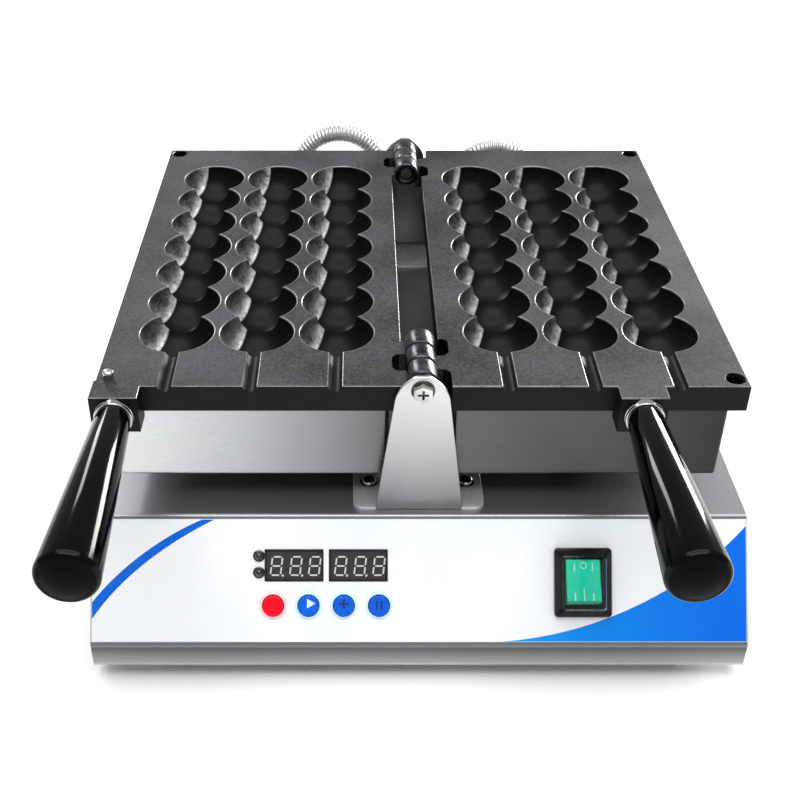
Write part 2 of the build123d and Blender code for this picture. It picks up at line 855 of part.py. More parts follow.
# Mains inlet on the rear wall: a bare cable gland
gland_plane = facing((mains_gland_x, base_rear, mains_gland_z), (0, 1, 0))
with BuildPart() as mains_gland:
    with BuildSketch(gland_plane):
        RegularPolygon(mains_gland_radius, 6)
    extrude(amount=mains_gland_reach / 2)
    with BuildSketch(gland_plane):
        Circle(mains_gland_cap_radius)
    extrude(amount=mains_gland_reach)
    fillet(mains_gland.faces().sort_by(Axis.Y)[-1].edges(), mains_gland_round)
    with BuildSketch(gland_plane):
        Circle(gland_thread_radius)
    extrude(amount=-mains_gland_thread)
    with BuildSketch(gland_plane):
        Circle(mains_gland_bore)
    extrude(amount=mains_gland_reach + mains_gland_thread, both=True, mode=Mode.SUBTRACT)
save(mains_gland, "mains_gland")

# Electrics on the tray
with BuildPart() as power_relays:
    with BuildSketch(Plane.XY.offset(tray_top)):
        with Locations(*relay_places):
            Rectangle(relay_size[0], relay_size[1])
    extrude(amount=relay_size[2])
    fillet(power_relays.edges().filter_by(Axis.Z), relay_round)
save(power_relays, "power_relays")

with BuildPart() as terminal_block:
    with BuildSketch(Plane.XY.offset(tray_top)):
        with Locations(terminal_block_place):
            Rectangle(terminal_block_size[0], terminal_block_size[1])
    extrude(amount=terminal_block_size[2])
    way_pitch = terminal_block_size[0] / terminal_ways
    with BuildSketch(Plane.XY.offset(tray_top + terminal_block_size[2])):
        with Locations(terminal_block_place):
            with GridLocations(way_pitch, terminal_block_size[1] / 2, terminal_ways, 2):
                Circle(terminal_well_radius)
    extrude(amount=-terminal_well_depth, mode=Mode.SUBTRACT)
save(terminal_block, "terminal_block")

earth_x, earth_y = earth_stud_place
group(
    "earth_stud",
    [
        ridge(earth_stud_radius, earth_stud_height, Plane((earth_x, earth_y, tray_top)))
        + hexagon(nut_radius, nut_height, Plane((earth_x, earth_y, tray_top)))
    ],
)


# Baking plates and everything that turns with them
def mirrored_y(places):
    """Each place along the hinge, and its mirror image at the rear end."""
    return [(a, b) for a, b in places] + [(2 * plate_middle - b, 2 * plate_middle - a) for a, b in places]


def knuckle_span(index):
    """The front and rear faces of the knuckle with this number, counted from the plates' front edge."""
    start = plate_front + knuckle_gap + index * knuckle_step
    return start, start + knuckle_length


def grill_plate(side, own_spans, pocket_spans, handle_x, pin_corner):
    """A cast baking plate with its channels, stick grooves, hinge pockets and handle boss."""
    first_ball = plate_front + first_ball_from_front
    channel_xs = [side * (middle_channel_x + channel_pitch * (i - (channels - 1) / 2)) for i in range(channels)]
    ball_places = [(x, first_ball + ball_pitch * j) for x in channel_xs for j in range(balls_in_channel)]
    flange_x = side * (plate_inner_edge + plate_reach) / 2
    inner_face = casing_inner_x + sheet + casing_fit
    outer_face = casing_outer_x - sheet - casing_fit
    block_length = plate_length - 2 * (casing_inset + sheet + casing_fit)
    with BuildPart() as plate:
        with BuildSketch(Plane.XY.offset(flange_under)):
            with Locations((flange_x, plate_middle)):
                Rectangle(plate_reach - plate_inner_edge, plate_length)
        extrude(amount=face_z - flange_under)
        fillet(plate.edges().filter_by(Axis.Z), flange_corner_radius)
        with BuildSketch(Plane.XZ.offset(-plate_front)):
            with Locations((side * handle_x, hinge_z)):
                Rectangle(boss_width, 2 * boss_depth)
        extrude(amount=boss_reach)
        with BuildSketch(Plane.XZ.offset(-plate_front)):
            with Locations((side * handle_x, hinge_z)):
                Rectangle(boss_width, 2 * boss_depth)
        extrude(amount=casing_fit - casing_inset)
        split(bisect_by=Plane.XY.offset(face_z), keep=Keep.BOTTOM)
        fillet(plate.faces().sort_by(Axis.Z)[-1].outer_wire().edges(), flange_edge_radius)
        with BuildSketch(Plane.XY.offset(block_under)):
            with Locations((side * (inner_face + outer_face) / 2, plate_middle)):
                Rectangle(outer_face - inner_face, block_length)
            notch = hinge_zone + hinge_zone_clear
            for end in (plate_front + notch / 2, plate_rear - notch / 2):
                with Locations((side * block_notch_x / 2, end)):
                    Rectangle(block_notch_x, notch, mode=Mode.SUBTRACT)
        extrude(amount=flange_under - block_under)
        with Locations(*[(x, y, hinge_z) for x, y in ball_places]):
            Sphere(ball_diameter / 2, mode=Mode.SUBTRACT)
        with BuildSketch(Plane.XZ.offset(-plate_front + boss_reach + cut_margin)):
            with Locations(*[(x, hinge_z) for x in channel_xs]):
                Circle(stick_groove_width / 2)
        extrude(amount=-first_ball_from_front - boss_reach - cut_margin, mode=Mode.SUBTRACT)
        for a, b in own_spans:
            with BuildSketch(Plane.XY.offset(flange_under)):
                with Locations((side * lug_seat_x / 2, (a + b) / 2)):
                    Rectangle(lug_seat_x, b - a)
            extrude(amount=flange_thickness, mode=Mode.SUBTRACT)
            with BuildSketch(Plane.XY.offset(flange_under)):
                with Locations((side * lug_tongue_reach / 2, (a + b) / 2)):
                    Rectangle(lug_tongue_reach, b - a)
            extrude(amount=lug_tongue_thickness, mode=Mode.SUBTRACT)
        for a, b in pocket_spans:
            with BuildSketch(Plane.XY.offset(flange_under)):
                with Locations((0, (a + b) / 2)):
                    RectangleRounded(2 * pocket_reach, b - a, pocket_radius)
            extrude(amount=flange_thickness, mode=Mode.SUBTRACT)
        with BuildSketch(Plane.XY.offset(flange_under)):
            with Locations(*[(side * lug_screw_x, (a + b) / 2) for a, b in own_spans]):
                Circle(small_screw[2] + screw_fit)
        extrude(amount=small_screw[1] + plate_screw_length + screw_fit, mode=Mode.SUBTRACT)
        corner_x = side * (plate_reach - corner_inset)
        for y in (plate_front + corner_inset, plate_rear - corner_inset):
            seat = pin_corner and y < plate_middle
            with BuildSketch(Plane.XY.offset(face_z)):
                with Locations((corner_x, y)):
                    Circle(locating_pin_radius + screw_fit if seat else corner_hole_radius)
            extrude(amount=-pin_seat_depth if seat else -corner_hole_depth, mode=Mode.SUBTRACT)
            if not seat:
                with BuildSketch(Plane.XY.offset(face_z)):
                    with Locations((corner_x, y)):
                        Circle(corner_rim_radius)
                extrude(amount=-corner_rim_depth, mode=Mode.SUBTRACT)
        with BuildSketch(facing((side * handle_x, plate_front - boss_reach, handle_z), (0, 1, 0))):
            Circle(stud_radius + screw_fit)
        extrude(amount=stud_in_boss, mode=Mode.SUBTRACT)
        with BuildSketch(Plane.XZ.offset(-plate_rear)):
            with Locations((side * probe_x, hinge_z - probe_depth)):
                Circle(probe_radius + screw_fit)
        extrude(amount=probe_length + probe_tip_gap + rear_wall_stack, mode=Mode.SUBTRACT)
        for x, way in ((inner_face, 1), (outer_face, -1)):
            for y in casing_screw_places:
                with BuildSketch(facing((side * x, y, casing_screw_z), (side * way, 0, 0))):
                    Circle(small_screw[2] + screw_fit)
                extrude(amount=plate_screw_length, mode=Mode.SUBTRACT)
    return plate


def hinge_lugs(side, spans, recessed_ends):
    """The knuckles of one plate: each has an arm into the plate's edge and a tongue under its skin."""
    with BuildPart() as lugs:
        for a, b in spans:
            plane = Plane(origin=(0, b, hinge_z), x_dir=(1, 0, 0), z_dir=(0, -1, 0))
            with BuildSketch(plane):
                with BuildLine():
                    Polyline(
                        (side * lug_seat_x, -half_parting_gap),
                        (0, -half_parting_gap),
                        (0, -knuckle_radius),
                        (side * lug_heel_x, -flange_thickness),
                        (side * lug_tongue_reach, -flange_thickness),
                        (side * lug_tongue_reach, lug_tongue_thickness - flange_thickness),
                        (side * lug_seat_x, lug_tongue_thickness - flange_thickness),
                        close=True,
                    )
                make_face()
                Circle(knuckle_radius)
            extrude(amount=b - a)
            with BuildSketch(plane):
                Circle(pivot_pin_radius + pivot_running_fit)
            extrude(amount=b - a, mode=Mode.SUBTRACT)
        for y, way in recessed_ends:
            with BuildSketch(facing((0, y, hinge_z), (0, way, 0))):
                Circle(knuckle_bore_end_radius)
            extrude(amount=pivot_pin_recess, mode=Mode.SUBTRACT)
        with BuildSketch(Plane.XY.offset(flange_under)):
            with Locations(*[(side * lug_screw_x, (a + b) / 2) for a, b in spans]):
                Circle(small_screw[2] + screw_fit)
        extrude(amount=lug_tongue_thickness, mode=Mode.SUBTRACT)
        with BuildSketch(Plane.XY.offset(flange_under)):
            with Locations(*[(side * lug_screw_x, (a + b) / 2) for a, b in spans]):
                Circle(small_screw[0] + screw_fit)
        extrude(amount=small_screw[1] + screw_fit, mode=Mode.SUBTRACT)
    return lugs


def heater_casing(side, elbow_x):
    """An open-topped sheet box around the plate's underside."""
    with BuildPart() as casing:
        with BuildSketch(Plane.XY.offset(casing_under)):
            with Locations((side * (casing_inner_x + casing_outer_x) / 2, plate_middle)):
                Rectangle(casing_outer_x - casing_inner_x, casing_rear - casing_front)
        extrude(amount=casing_height)
        fillet(casing.edges().filter_by(Axis.Z), casing_bend_radius)
        fillet(casing.faces().sort_by(Axis.Z)[0].edges(), casing_floor_radius)
        offset(amount=-sheet, openings=casing.faces().sort_by(Axis.Z)[-1])
        with BuildSketch(Plane.YZ):
            with Locations(*[(y, casing_screw_z) for y in casing_screw_places]):
                Circle(small_screw[2] + screw_fit)
        extrude(amount=side * base_width, mode=Mode.SUBTRACT)
        with BuildSketch(facing((elbow_x, casing_rear + cut_margin, elbow_z), (0, -1, 0))):
            Circle(gland_thread_radius + screw_fit)
        extrude(amount=sheet + 2 * cut_margin, mode=Mode.SUBTRACT)
    return casing


def hose_elbow(x, y, outlet_z):
    """A cast elbow: a flanged stub out of the casing's rear wall that turns up to the hose."""
    with BuildPart() as elbow:
        with BuildSketch(facing((x, casing_rear, elbow_z), (0, 1, 0))):
            Circle(fitting_flange_radius)
        extrude(amount=fitting_flange_thickness)
        with BuildSketch(facing((x, casing_rear, elbow_z), (0, 1, 0))):
            Circle(fitting_radius)
        extrude(amount=y - casing_rear)
        with BuildSketch(facing((x, y, elbow_z), (0, 0, 1))):
            Circle(fitting_radius)
        extrude(amount=outlet_z - elbow_z)
        with Locations((x, y, elbow_z)):
            Sphere(fitting_radius)
        with BuildSketch(facing((x, casing_rear, elbow_z), (0, -1, 0))):
            Circle(gland_thread_radius)
        extrude(amount=sheet + gland_nut_thickness)
        with BuildSketch(facing((x, y, elbow_z), (0, 0, 1))):
            Circle(hose_bore_radius)
        extrude(amount=outlet_z - elbow_z, mode=Mode.SUBTRACT)
        with BuildSketch(facing((x, y, elbow_z), (0, -1, 0))):
            Circle(hose_bore_radius)
        extrude(amount=y - casing_rear + sheet + gland_nut_thickness, mode=Mode.SUBTRACT)
    return elbow


def heater(side):
    """A tubular heating element that runs up and down between the channels."""
    front = casing_front + heater_end_margin
    rear = casing_rear - heater_end_margin
    a, b, c, d = (side * x for x in heater_leg_x)
    route = [(a, rear), (a, front), (b, front), (b, rear), (c, rear), (c, front), (d, front), (d, rear)]
    with BuildPart() as element:
        with BuildLine() as path:
            FilletPolyline(*[(x, y, heater_z) for x, y in route], radius=heater_bend_radius)
        with BuildSketch(facing((a, rear, heater_z), (0, -1, 0))):
            Circle(heater_radius)
        sweep(path=path.line)
        for x in (a, d):
            with BuildSketch(facing((x, rear, heater_z), (0, 1, 0))):
                Circle(terminal_radius)
            extrude(amount=terminal_length)
    return element


def heater_clamp(side):
    """The plate under the element, with three spacer legs that reach the casting."""
    middle = side * (casing_inner_x + casing_outer_x) / 2
    width = casing_outer_x - casing_inner_x - 2 * stack_margin
    length = casing_rear - casing_front - 2 * stack_margin
    with BuildPart() as clamp:
        with BuildSketch(Plane.XY.offset(clamp_under)):
            with Locations((middle, plate_middle)):
                Rectangle(width, length)
        extrude(amount=clamp_thickness)
        a, b, c, d = (side * x for x in heater_leg_x)
        leg_y = length / 2 - clamp_leg / 2
        with BuildSketch(Plane.XY.offset(clamp_top)):
            with Locations(
                ((b + c) / 2, plate_middle - leg_y),
                ((a + b) / 2, plate_middle + leg_y),
                ((c + d) / 2, plate_middle + leg_y),
            ):
                Rectangle(clamp_leg, clamp_leg)
        extrude(amount=block_under - clamp_top)
    return clamp


def insulation(side):
    """A board of ceramic fibre under the clamp plate."""
    with BuildPart() as board:
        with BuildSketch(Plane.XY.offset(clamp_under)):
            with Locations((side * (casing_inner_x + casing_outer_x) / 2, plate_middle)):
                Rectangle(
                    casing_outer_x - casing_inner_x - 2 * (sheet + insulation_side_margin),
                    casing_rear - casing_front - 2 * (sheet + insulation_end_margin),
                )
        extrude(amount=-insulation_thickness)
    return board


def probe(side):
    """The temperature probe in the casting's rear end."""
    with BuildPart() as sensor:
        with BuildSketch(facing((side * probe_x, plate_rear - rear_wall_stack, hinge_z - probe_depth), (0, -1, 0))):
            Circle(probe_radius)
        extrude(amount=probe_length)
    return sensor


def handle(x):
    """A tapered grip with a lightly domed end, bored for its stud."""
    start = plate_front - boss_reach - ferrule_length
    end = start - handle_length
    shoulder = end + handle_end_dome
    cap = handle_end_radius - handle_end_round
    dome_radius = (cap**2 + handle_end_dome**2) / (2 * handle_end_dome)
    half_cap_rise = dome_radius - math.sqrt(dome_radius**2 - (cap / 2) ** 2)
    with BuildPart() as grip:
        with BuildSketch(Plane(origin=(x, 0, handle_z), x_dir=(1, 0, 0), z_dir=(0, 0, 1))):
            with BuildLine():
                Line((0, start), (handle_start_radius, start))
                Line((handle_start_radius, start), (handle_end_radius, shoulder + handle_end_round))
                CenterArc((cap, shoulder + handle_end_round), handle_end_round, 0, -90)
                ThreePointArc((cap, shoulder), (cap / 2, end + half_cap_rise), (0, end))
                Line((0, end), (0, start))
            make_face()
        revolve(axis=Axis((x, 0, handle_z), (0, 1, 0)))
        with BuildSketch(facing((x, start, handle_z), (0, -1, 0))):
            Circle(stud_radius + screw_fit)
        extrude(amount=handle_bore_depth, mode=Mode.SUBTRACT)
    return grip


for side, word, indices, handle_reach_x, hose in (
    (LEFT, "left", (0, 2), left_handle_x, hoses[0]),
    (RIGHT, "right", (1,), right_handle_x, hoses[1]),
):
    own_spans = mirrored_y([knuckle_span(i) for i in indices])
    others = [i for i in range(3) if i not in indices]
    pocket_spans = []
    for i in others:
        low, high = knuckle_span(i)
        low -= knuckle_gap if i else knuckle_gap + pocket_radius + cut_margin
        high += knuckle_gap if i < 2 else last_pocket_gap
        pocket_spans.append((low, high))
    pocket_spans = mirrored_y(pocket_spans)
    save(grill_plate(side, own_spans, pocket_spans, handle_reach_x, side == LEFT), f"{word}_grill_plate")
    pin_ends = [(knuckle_span(2)[1], -1), (2 * plate_middle - knuckle_span(2)[1], 1)] if 2 in indices else []
    save(hinge_lugs(side, own_spans, pin_ends), f"{word}_hinge_lugs")
    _, middle_x, arc_radius, arc_drop, behind = hose
    elbow_x, hose_y = elbow_place(side, middle_x, arc_radius, behind)
    outlet_z = hinge_z - arc_drop - 2 * hose_radius
    save(heater_casing(side, elbow_x), f"{word}_heater_casing")
    lug_screws = [
        screw(
            facing((side * lug_screw_x, (a + b) / 2, flange_under + small_screw[1]), (0, 0, -1)),
            small_screw,
            plate_screw_length,
        )
        for a, b in own_spans
    ]
    casing_screws = [
        screw(facing((side * x, y, casing_screw_z), (side * way, 0, 0)), small_screw, plate_screw_length)
        for x, way in ((casing_inner_x, -1), (casing_outer_x, 1))
        for y in casing_screw_places
    ]
    group(f"{word}_plate_screws", lug_screws + casing_screws)
    save(hose_elbow(elbow_x, hose_y, outlet_z), f"{word}_hose_elbow")
    save(heater(side), f"{word}_heater")
    save(heater_clamp(side), f"{word}_heater_clamp")
    save(insulation(side), f"{word}_insulation")
    save(probe(side), f"{word}_probe")
    handle_x = side * handle_reach_x
    save(handle(handle_x), f"{word}_handle")
    boss_face = facing((handle_x, plate_front - boss_reach, handle_z), (0, -1, 0))
    group(
        f"{word}_ferrule",
        [ridge(handle_start_radius + ferrule_rim, ferrule_length, boss_face, stud_radius + screw_fit)],
    )
    stud_start = facing((handle_x, plate_front - boss_reach + stud_in_boss - stud_end_gap, handle_z), (0, -1, 0))
    stud_length = stud_in_boss + ferrule_length + handle_bore_depth - 2 * stud_end_gap
    group(f"{word}_handle_stud", [ridge(stud_radius, stud_length, stud_start)])

# Locating pin in the left plate's front corner: it enters the right plate's corner hole
with BuildPart() as locating_pin:
    pin_x = -(plate_reach - corner_inset)
    with BuildSketch(Plane((pin_x, plate_front + corner_inset, face_z - pin_seat_depth))):
        Circle(locating_pin_radius)
    extrude(amount=pin_seat_depth + locating_pin_height)
    fillet(locating_pin.faces().sort_by(Axis.Z)[-1].edges(), locating_pin_round)
save(locating_pin, "locating_pin")
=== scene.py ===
"""Looks of an electric waffle stick maker with two hinged baking plates.

Sizes in the dataclasses are millimetres, in the frame of the solid model: +X to the right, +Y to
the rear, +Z up, with the origin on the table. Meshes are made in metres.
"""

import json
import logging
import math
from dataclasses import dataclass, replace
from enum import Enum
from functools import cache
from typing import Iterable, Sequence

import bmesh
import bpy
from bmesh.types import BMEdge, BMesh, BMVert
from mathutils import Matrix, Vector

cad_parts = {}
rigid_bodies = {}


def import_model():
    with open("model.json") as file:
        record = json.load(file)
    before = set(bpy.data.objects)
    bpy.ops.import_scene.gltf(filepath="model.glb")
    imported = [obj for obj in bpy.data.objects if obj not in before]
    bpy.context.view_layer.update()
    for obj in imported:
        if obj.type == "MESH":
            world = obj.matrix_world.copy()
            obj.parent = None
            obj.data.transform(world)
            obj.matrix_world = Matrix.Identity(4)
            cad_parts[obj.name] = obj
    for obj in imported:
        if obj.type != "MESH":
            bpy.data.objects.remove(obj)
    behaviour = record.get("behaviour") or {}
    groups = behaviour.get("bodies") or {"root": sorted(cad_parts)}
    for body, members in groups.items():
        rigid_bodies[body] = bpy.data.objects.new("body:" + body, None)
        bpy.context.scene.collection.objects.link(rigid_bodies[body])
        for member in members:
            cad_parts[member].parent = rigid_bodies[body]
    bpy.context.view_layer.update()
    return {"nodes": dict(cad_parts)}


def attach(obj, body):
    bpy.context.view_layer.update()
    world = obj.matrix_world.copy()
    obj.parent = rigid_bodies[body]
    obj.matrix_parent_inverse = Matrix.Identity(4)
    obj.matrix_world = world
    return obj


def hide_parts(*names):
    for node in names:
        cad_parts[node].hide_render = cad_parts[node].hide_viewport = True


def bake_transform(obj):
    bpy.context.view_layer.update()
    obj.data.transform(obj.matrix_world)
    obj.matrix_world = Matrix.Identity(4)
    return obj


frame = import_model()

MM = 0.001
LEFT = -1
RIGHT = 1
QUARTER_TURN_X = Matrix.Rotation(math.radians(90), 4, "X")
QUARTER_TURN_Z = Matrix.Rotation(math.radians(-90), 4, "Z")
log = logging.getLogger("waffle_stick_maker")

Point = Sequence[float]
Place = tuple[float, float, float]
Dot = tuple[float, float]
Profile = Sequence[Dot]
Socket = bpy.types.NodeSocket


# Colours, nodes and finishes


def linear(code: str) -> tuple[float, float, float, float]:
    """Turn an sRGB hex colour into linear RGBA.

    Args:
        code: The colour, such as "#1a90f0".

    Returns:
        Red, green, blue and a full alpha, all linear.
    """
    parts = [int(code[i:i + 2], 16) / 255 for i in (1, 3, 5)]
    red, green, blue = (c / 12.92 if c <= 0.04045 else ((c + 0.055) / 1.055) ** 2.4 for c in parts)
    return red, green, blue, 1.0


def add_node(
    tree: bpy.types.NodeTree,
    kind: str,
    inputs: dict | None = None,
    stops: Sequence[tuple[float, str]] = (),
    **settings,
) -> bpy.types.Node:
    """Add a node with its settings and links.

    Args:
        tree: The node tree that the node joins.
        kind: The node's type name.
        inputs: A value or another node's socket for each input that is set.
        stops: For a colour ramp, its positions and sRGB hex colours.
        settings: Properties of the node itself.

    Returns:
        The new node.
    """
    node = tree.nodes.new(kind)
    for name, value in settings.items():
        setattr(node, name, value)
    for key, value in (inputs or {}).items():
        if isinstance(value, Socket):
            tree.links.new(value, node.inputs[key])
        else:
            node.inputs[key].default_value = value
    for i, (position, code) in enumerate(stops):
        elements = node.color_ramp.elements
        element = elements[i] if i < 2 else elements.new(position)
        element.position = position
        element.color = linear(code)
    return node


def remapped(
    tree: bpy.types.NodeTree,
    value: Socket,
    low: float,
    high: float,
    to_low: float = 0.0,
    to_high: float = 1.0,
    **settings,
) -> Socket:
    """Carry a range of values over to another range.

    Args:
        tree: The material's node tree.
        value: The socket that is read.
        low: The value that becomes to_low.
        high: The value that becomes to_high.
        to_low: The new range's start.
        to_high: The new range's end.
        settings: Properties of the node itself.

    Returns:
        The socket with the new value.
    """
    inputs = {"Value": value, "From Min": low, "From Max": high, "To Min": to_low,
              "To Max": to_high}
    return add_node(tree, "ShaderNodeMapRange", inputs, **settings).outputs[0]


@dataclass(frozen=True)
class Finish:
    """A surface: what it is made of, and how far its colour, gloss and relief vary.

    The grain is the finest pattern and the patches are the widest one. Both are sizes in
    millimetres. The grain can be drawn out along an axis, as brushing and turning marks are.
    """

    name: str
    roughness: float
    colour: str = "#ffffff"
    shade: str = "#ffffff"
    spread: float = 0.06
    grain: float = 0.6
    drawn: Place = (1.0, 1.0, 1.0)
    patch: float = 45.0
    relief: float = 0.01
    metallic: float = 0.0
    ior: float = 1.5
    coat: float = 0.0
    coat_roughness: float = 0.04
    specular: float = 0.5
    transmission: float = 0.0
    glow: str = ""
    glow_strength: float = 0.0

    def build(self) -> bpy.types.Material:
        """Make the material.

        Returns:
            A procedural material that reads object coordinates.
        """
        material = bpy.data.materials.new(self.name)
        material.use_nodes = True
        tree = material.node_tree
        tree.nodes.clear()
        place = add_node(tree, "ShaderNodeTexCoord").outputs["Object"]
        scale = [1 / (self.grain * MM * stretch) for stretch in self.drawn]
        laid = add_node(tree, "ShaderNodeMapping", {"Vector": place, "Scale": scale}).outputs[0]
        noise = {"Vector": laid, "Scale": 1.0, "Detail": 3.0, "Roughness": 0.6}
        grain = add_node(tree, "ShaderNodeTexNoise", noise).outputs["Fac"]
        noise = {"Vector": place, "Scale": 1 / (self.patch * MM), "Detail": 2.0}
        patch = add_node(tree, "ShaderNodeTexNoise", noise).outputs["Fac"]
        both = add_node(tree, "ShaderNodeMath", {0: grain, 1: patch}, operation="ADD").outputs[0]
        low, high = max(0.0, self.roughness - self.spread), self.roughness + self.spread
        rough = remapped(tree, both, 0.7, 1.3, low, high)
        inputs = {
            "Base Color": self.tint(tree, place, both),
            "Roughness": rough,
            "Metallic": self.metalness(tree),
            "Coat Weight": self.coat,
            "Coat Roughness": self.coat_roughness,
            "Transmission Weight": self.transmission,
        }
        if not self.metallic:
            inputs["IOR"] = self.ior
            inputs["Specular IOR Level"] = self.specular
        if self.relief:
            bump = {"Height": grain, "Distance": self.depth(tree, place)}
            inputs["Normal"] = add_node(tree, "ShaderNodeBump", bump).outputs[0]
        if self.glow:
            inputs["Emission Color"] = linear(self.glow)
            inputs["Emission Strength"] = self.glow_strength
        shader = add_node(tree, "ShaderNodeBsdfPrincipled", inputs)
        add_node(tree, "ShaderNodeOutputMaterial", {"Surface": shader.outputs[0]})
        return material

    def metalness(self, tree: bpy.types.NodeTree) -> float | Socket:
        """Give the share of bare metal.

        Args:
            tree: The material's node tree.

        Returns:
            The same share everywhere.
        """
        return self.metallic

    def depth(self, tree: bpy.types.NodeTree, place: Socket) -> float | Socket:
        """Give the relief's depth.

        Args:
            tree: The material's node tree.
            place: Object coordinates.

        Returns:
            The same depth everywhere, in metres.
        """
        return self.relief * MM

    def tint(self, tree: bpy.types.NodeTree, place: Socket, both: Socket) -> Socket:
        """Mix the two colours by the grain and the patches.

        Args:
            tree: The material's node tree.
            place: Object coordinates.
            both: The grain and patch patterns, added.

        Returns:
            The colour socket for the shader.
        """
        half = add_node(tree, "ShaderNodeMath", {0: both, 1: 0.5}, operation="MULTIPLY").outputs[0]
        stops = ((0.36, self.shade), (0.64, self.colour))
        return add_node(tree, "ShaderNodeValToRGB", {"Fac": half}, stops).outputs["Color"]


@dataclass(frozen=True)
class Faded(Finish):
    """A surface whose tone changes along an axis between two places, in millimetres."""

    axis: str = "X"
    start: float = 0.0
    end: float = 100.0
    speckle: float = 0.12
    tones: tuple[tuple[float, str], ...] = ((0.0, "#000000"), (1.0, "#ffffff"))

    def tint(self, tree: bpy.types.NodeTree, place: Socket, both: Socket) -> Socket:
        """Run through the tones along the axis, with a faint speckle.

        Args:
            tree: The material's node tree.
            place: Object coordinates.
            both: The grain and patch patterns, added.

        Returns:
            The colour socket for the shader.
        """
        along = add_node(tree, "ShaderNodeSeparateXYZ", {0: place}).outputs[self.axis]
        share = remapped(tree, along, self.start * MM, self.end * MM)
        centred = add_node(tree, "ShaderNodeMath", {0: both, 1: 1.0},
                           operation="SUBTRACT").outputs[0]
        speckle = {0: centred, 1: self.speckle, 2: share}
        speckled = add_node(tree, "ShaderNodeMath", speckle, operation="MULTIPLY_ADD").outputs[0]
        return add_node(tree, "ShaderNodeValToRGB", {"Fac": speckled}, self.tones).outputs["Color"]


@dataclass(frozen=True)
class CastCavity(Finish):
    """A coated cavity: smooth at its bottom, hammered below its rim, with a painted highlight on
    its walls that face right.

    The highlight's mark is a number on each point of the mesh, from 0 on walls that face away from
    the painted highlight to 1.
    """

    smooth_z: float = 131.0
    rough_z: float = 141.0
    rough_relief: float = 0.4
    # The painted highlight on walls that face right: how metallic it is, where on its mark it
    # starts, and its tones.
    highlight_metallic: float = 0.55
    highlight_from: float = 0.62
    highlight_to: float = 0.665
    painted_sheen: tuple[tuple[float, str], ...] = (
        (highlight_from, "#08080a"), (highlight_to, "#ffffff"), (0.73, "#dcdcde"), (0.84, "#88888a"),
        (1.0, "#424243"),
    )

    def highlight_share(self, tree: bpy.types.NodeTree) -> Socket:
        """Read the mark that says where the highlight is painted.

        Args:
            tree: The material's node tree.

        Returns:
            The burnish socket.
        """
        return add_node(tree, "ShaderNodeAttribute", attribute_name="painted_highlight").outputs["Fac"]

    def metalness(self, tree: bpy.types.NodeTree) -> float | Socket:
        """Make the surface metallic where the highlight is painted.

        Args:
            tree: The material's node tree.

        Returns:
            A socket with the share of metal.
        """
        return remapped(tree, self.highlight_share(tree), self.highlight_from, self.highlight_to,
                        to_high=self.highlight_metallic)

    def tint(self, tree: bpy.types.NodeTree, place: Socket, both: Socket) -> Socket:
        """Lay a mottled painted highlight over the black coating.

        Args:
            tree: The material's node tree.
            place: Object coordinates.
            both: The grain and patch patterns, added.

        Returns:
            The colour socket for the shader.
        """
        highlight_tone = add_node(tree, "ShaderNodeValToRGB", {"Fac": self.highlight_share(tree)},
                        self.painted_sheen).outputs["Color"]
        mottled = {0: highlight_tone, "Scale": remapped(tree, both, 0.75, 1.2, to_low=0.3)}
        painted_sheen = add_node(tree, "ShaderNodeVectorMath", mottled, operation="SCALE").outputs[0]
        both_layers = {0: super().tint(tree, place, both), 1: painted_sheen}
        return add_node(tree, "ShaderNodeVectorMath", both_layers, operation="MAXIMUM").outputs[0]

    def depth(self, tree: bpy.types.NodeTree, place: Socket) -> float | Socket:
        """Deepen the relief with height.

        Args:
            tree: The material's node tree.
            place: Object coordinates.

        Returns:
            A socket with the depth in metres.
        """
        height = add_node(tree, "ShaderNodeSeparateXYZ", {0: place}).outputs["Z"]
        span = self.smooth_z * MM, self.rough_z * MM, self.relief * MM, self.rough_relief * MM
        return remapped(tree, height, *span, interpolation_type="SMOOTHSTEP")


# PTFE-coated cast aluminium, sand-cast and sprayed: a dull dark grey with a pebbled grain.
CASTING_FACE = Finish(
    "ptfe_coated_casting_face", 0.52, "#4a4b4d", "#1a1a1c", grain=1.3, patch=60, relief=0.07,
    specular=0.14,
)
# The same coating in the cavities, where it stays smooth and glossy: nearly black, with a painted
# highlight on the walls that face right.
CASTING_CAVITY = CastCavity(
    "ptfe_coated_casting_cavity", 0.36, "#0a0a0b", "#060607", 0.05, grain=2.0, patch=6, relief=0.02,
    specular=0.11,
)
# The casting's outer sides, sprayed thicker: black and satin.
CASTING_SIDE = Finish(
    "ptfe_coated_casting_side", 0.45, "#0a0a0b", "#060606", 0.05, grain=0.9, patch=30, relief=0.03,
    specular=0.15,
)
# Edges where the coating is rubbed and the aluminium starts to show, in thin lighter lines that are
# partly painted highlight; the top band of each groove's left wall is a painted highlight.
CASTING_EDGE_AND_HIGHLIGHT = Finish(
    "rubbed_casting_edge_and_painted_highlight", 0.34, "#8e8e90", "#4a4a4c", grain=0.7, patch=12, metallic=0.6
)
# Turned steel, oil-blackened: dark, glossy, with turning marks round the hinge line.
BLACKENED_STEEL = Finish(
    "blackened_turned_steel", 0.28, "#56565a", "#242426", 0.07, grain=0.35, drawn=(8, 0.6, 8),
    patch=5, relief=0.01, metallic=1.0,
)
# Stainless steel sheet, brushed along X: light grey with fine level lines.
BRUSHED_ALONG_X = Finish(
    "stainless_brushed_level", 0.27, "#bfc0c1", "#a4a5a7", 0.05, grain=0.45, drawn=(60, 1, 1),
    patch=80, relief=0.004, metallic=1.0,
)
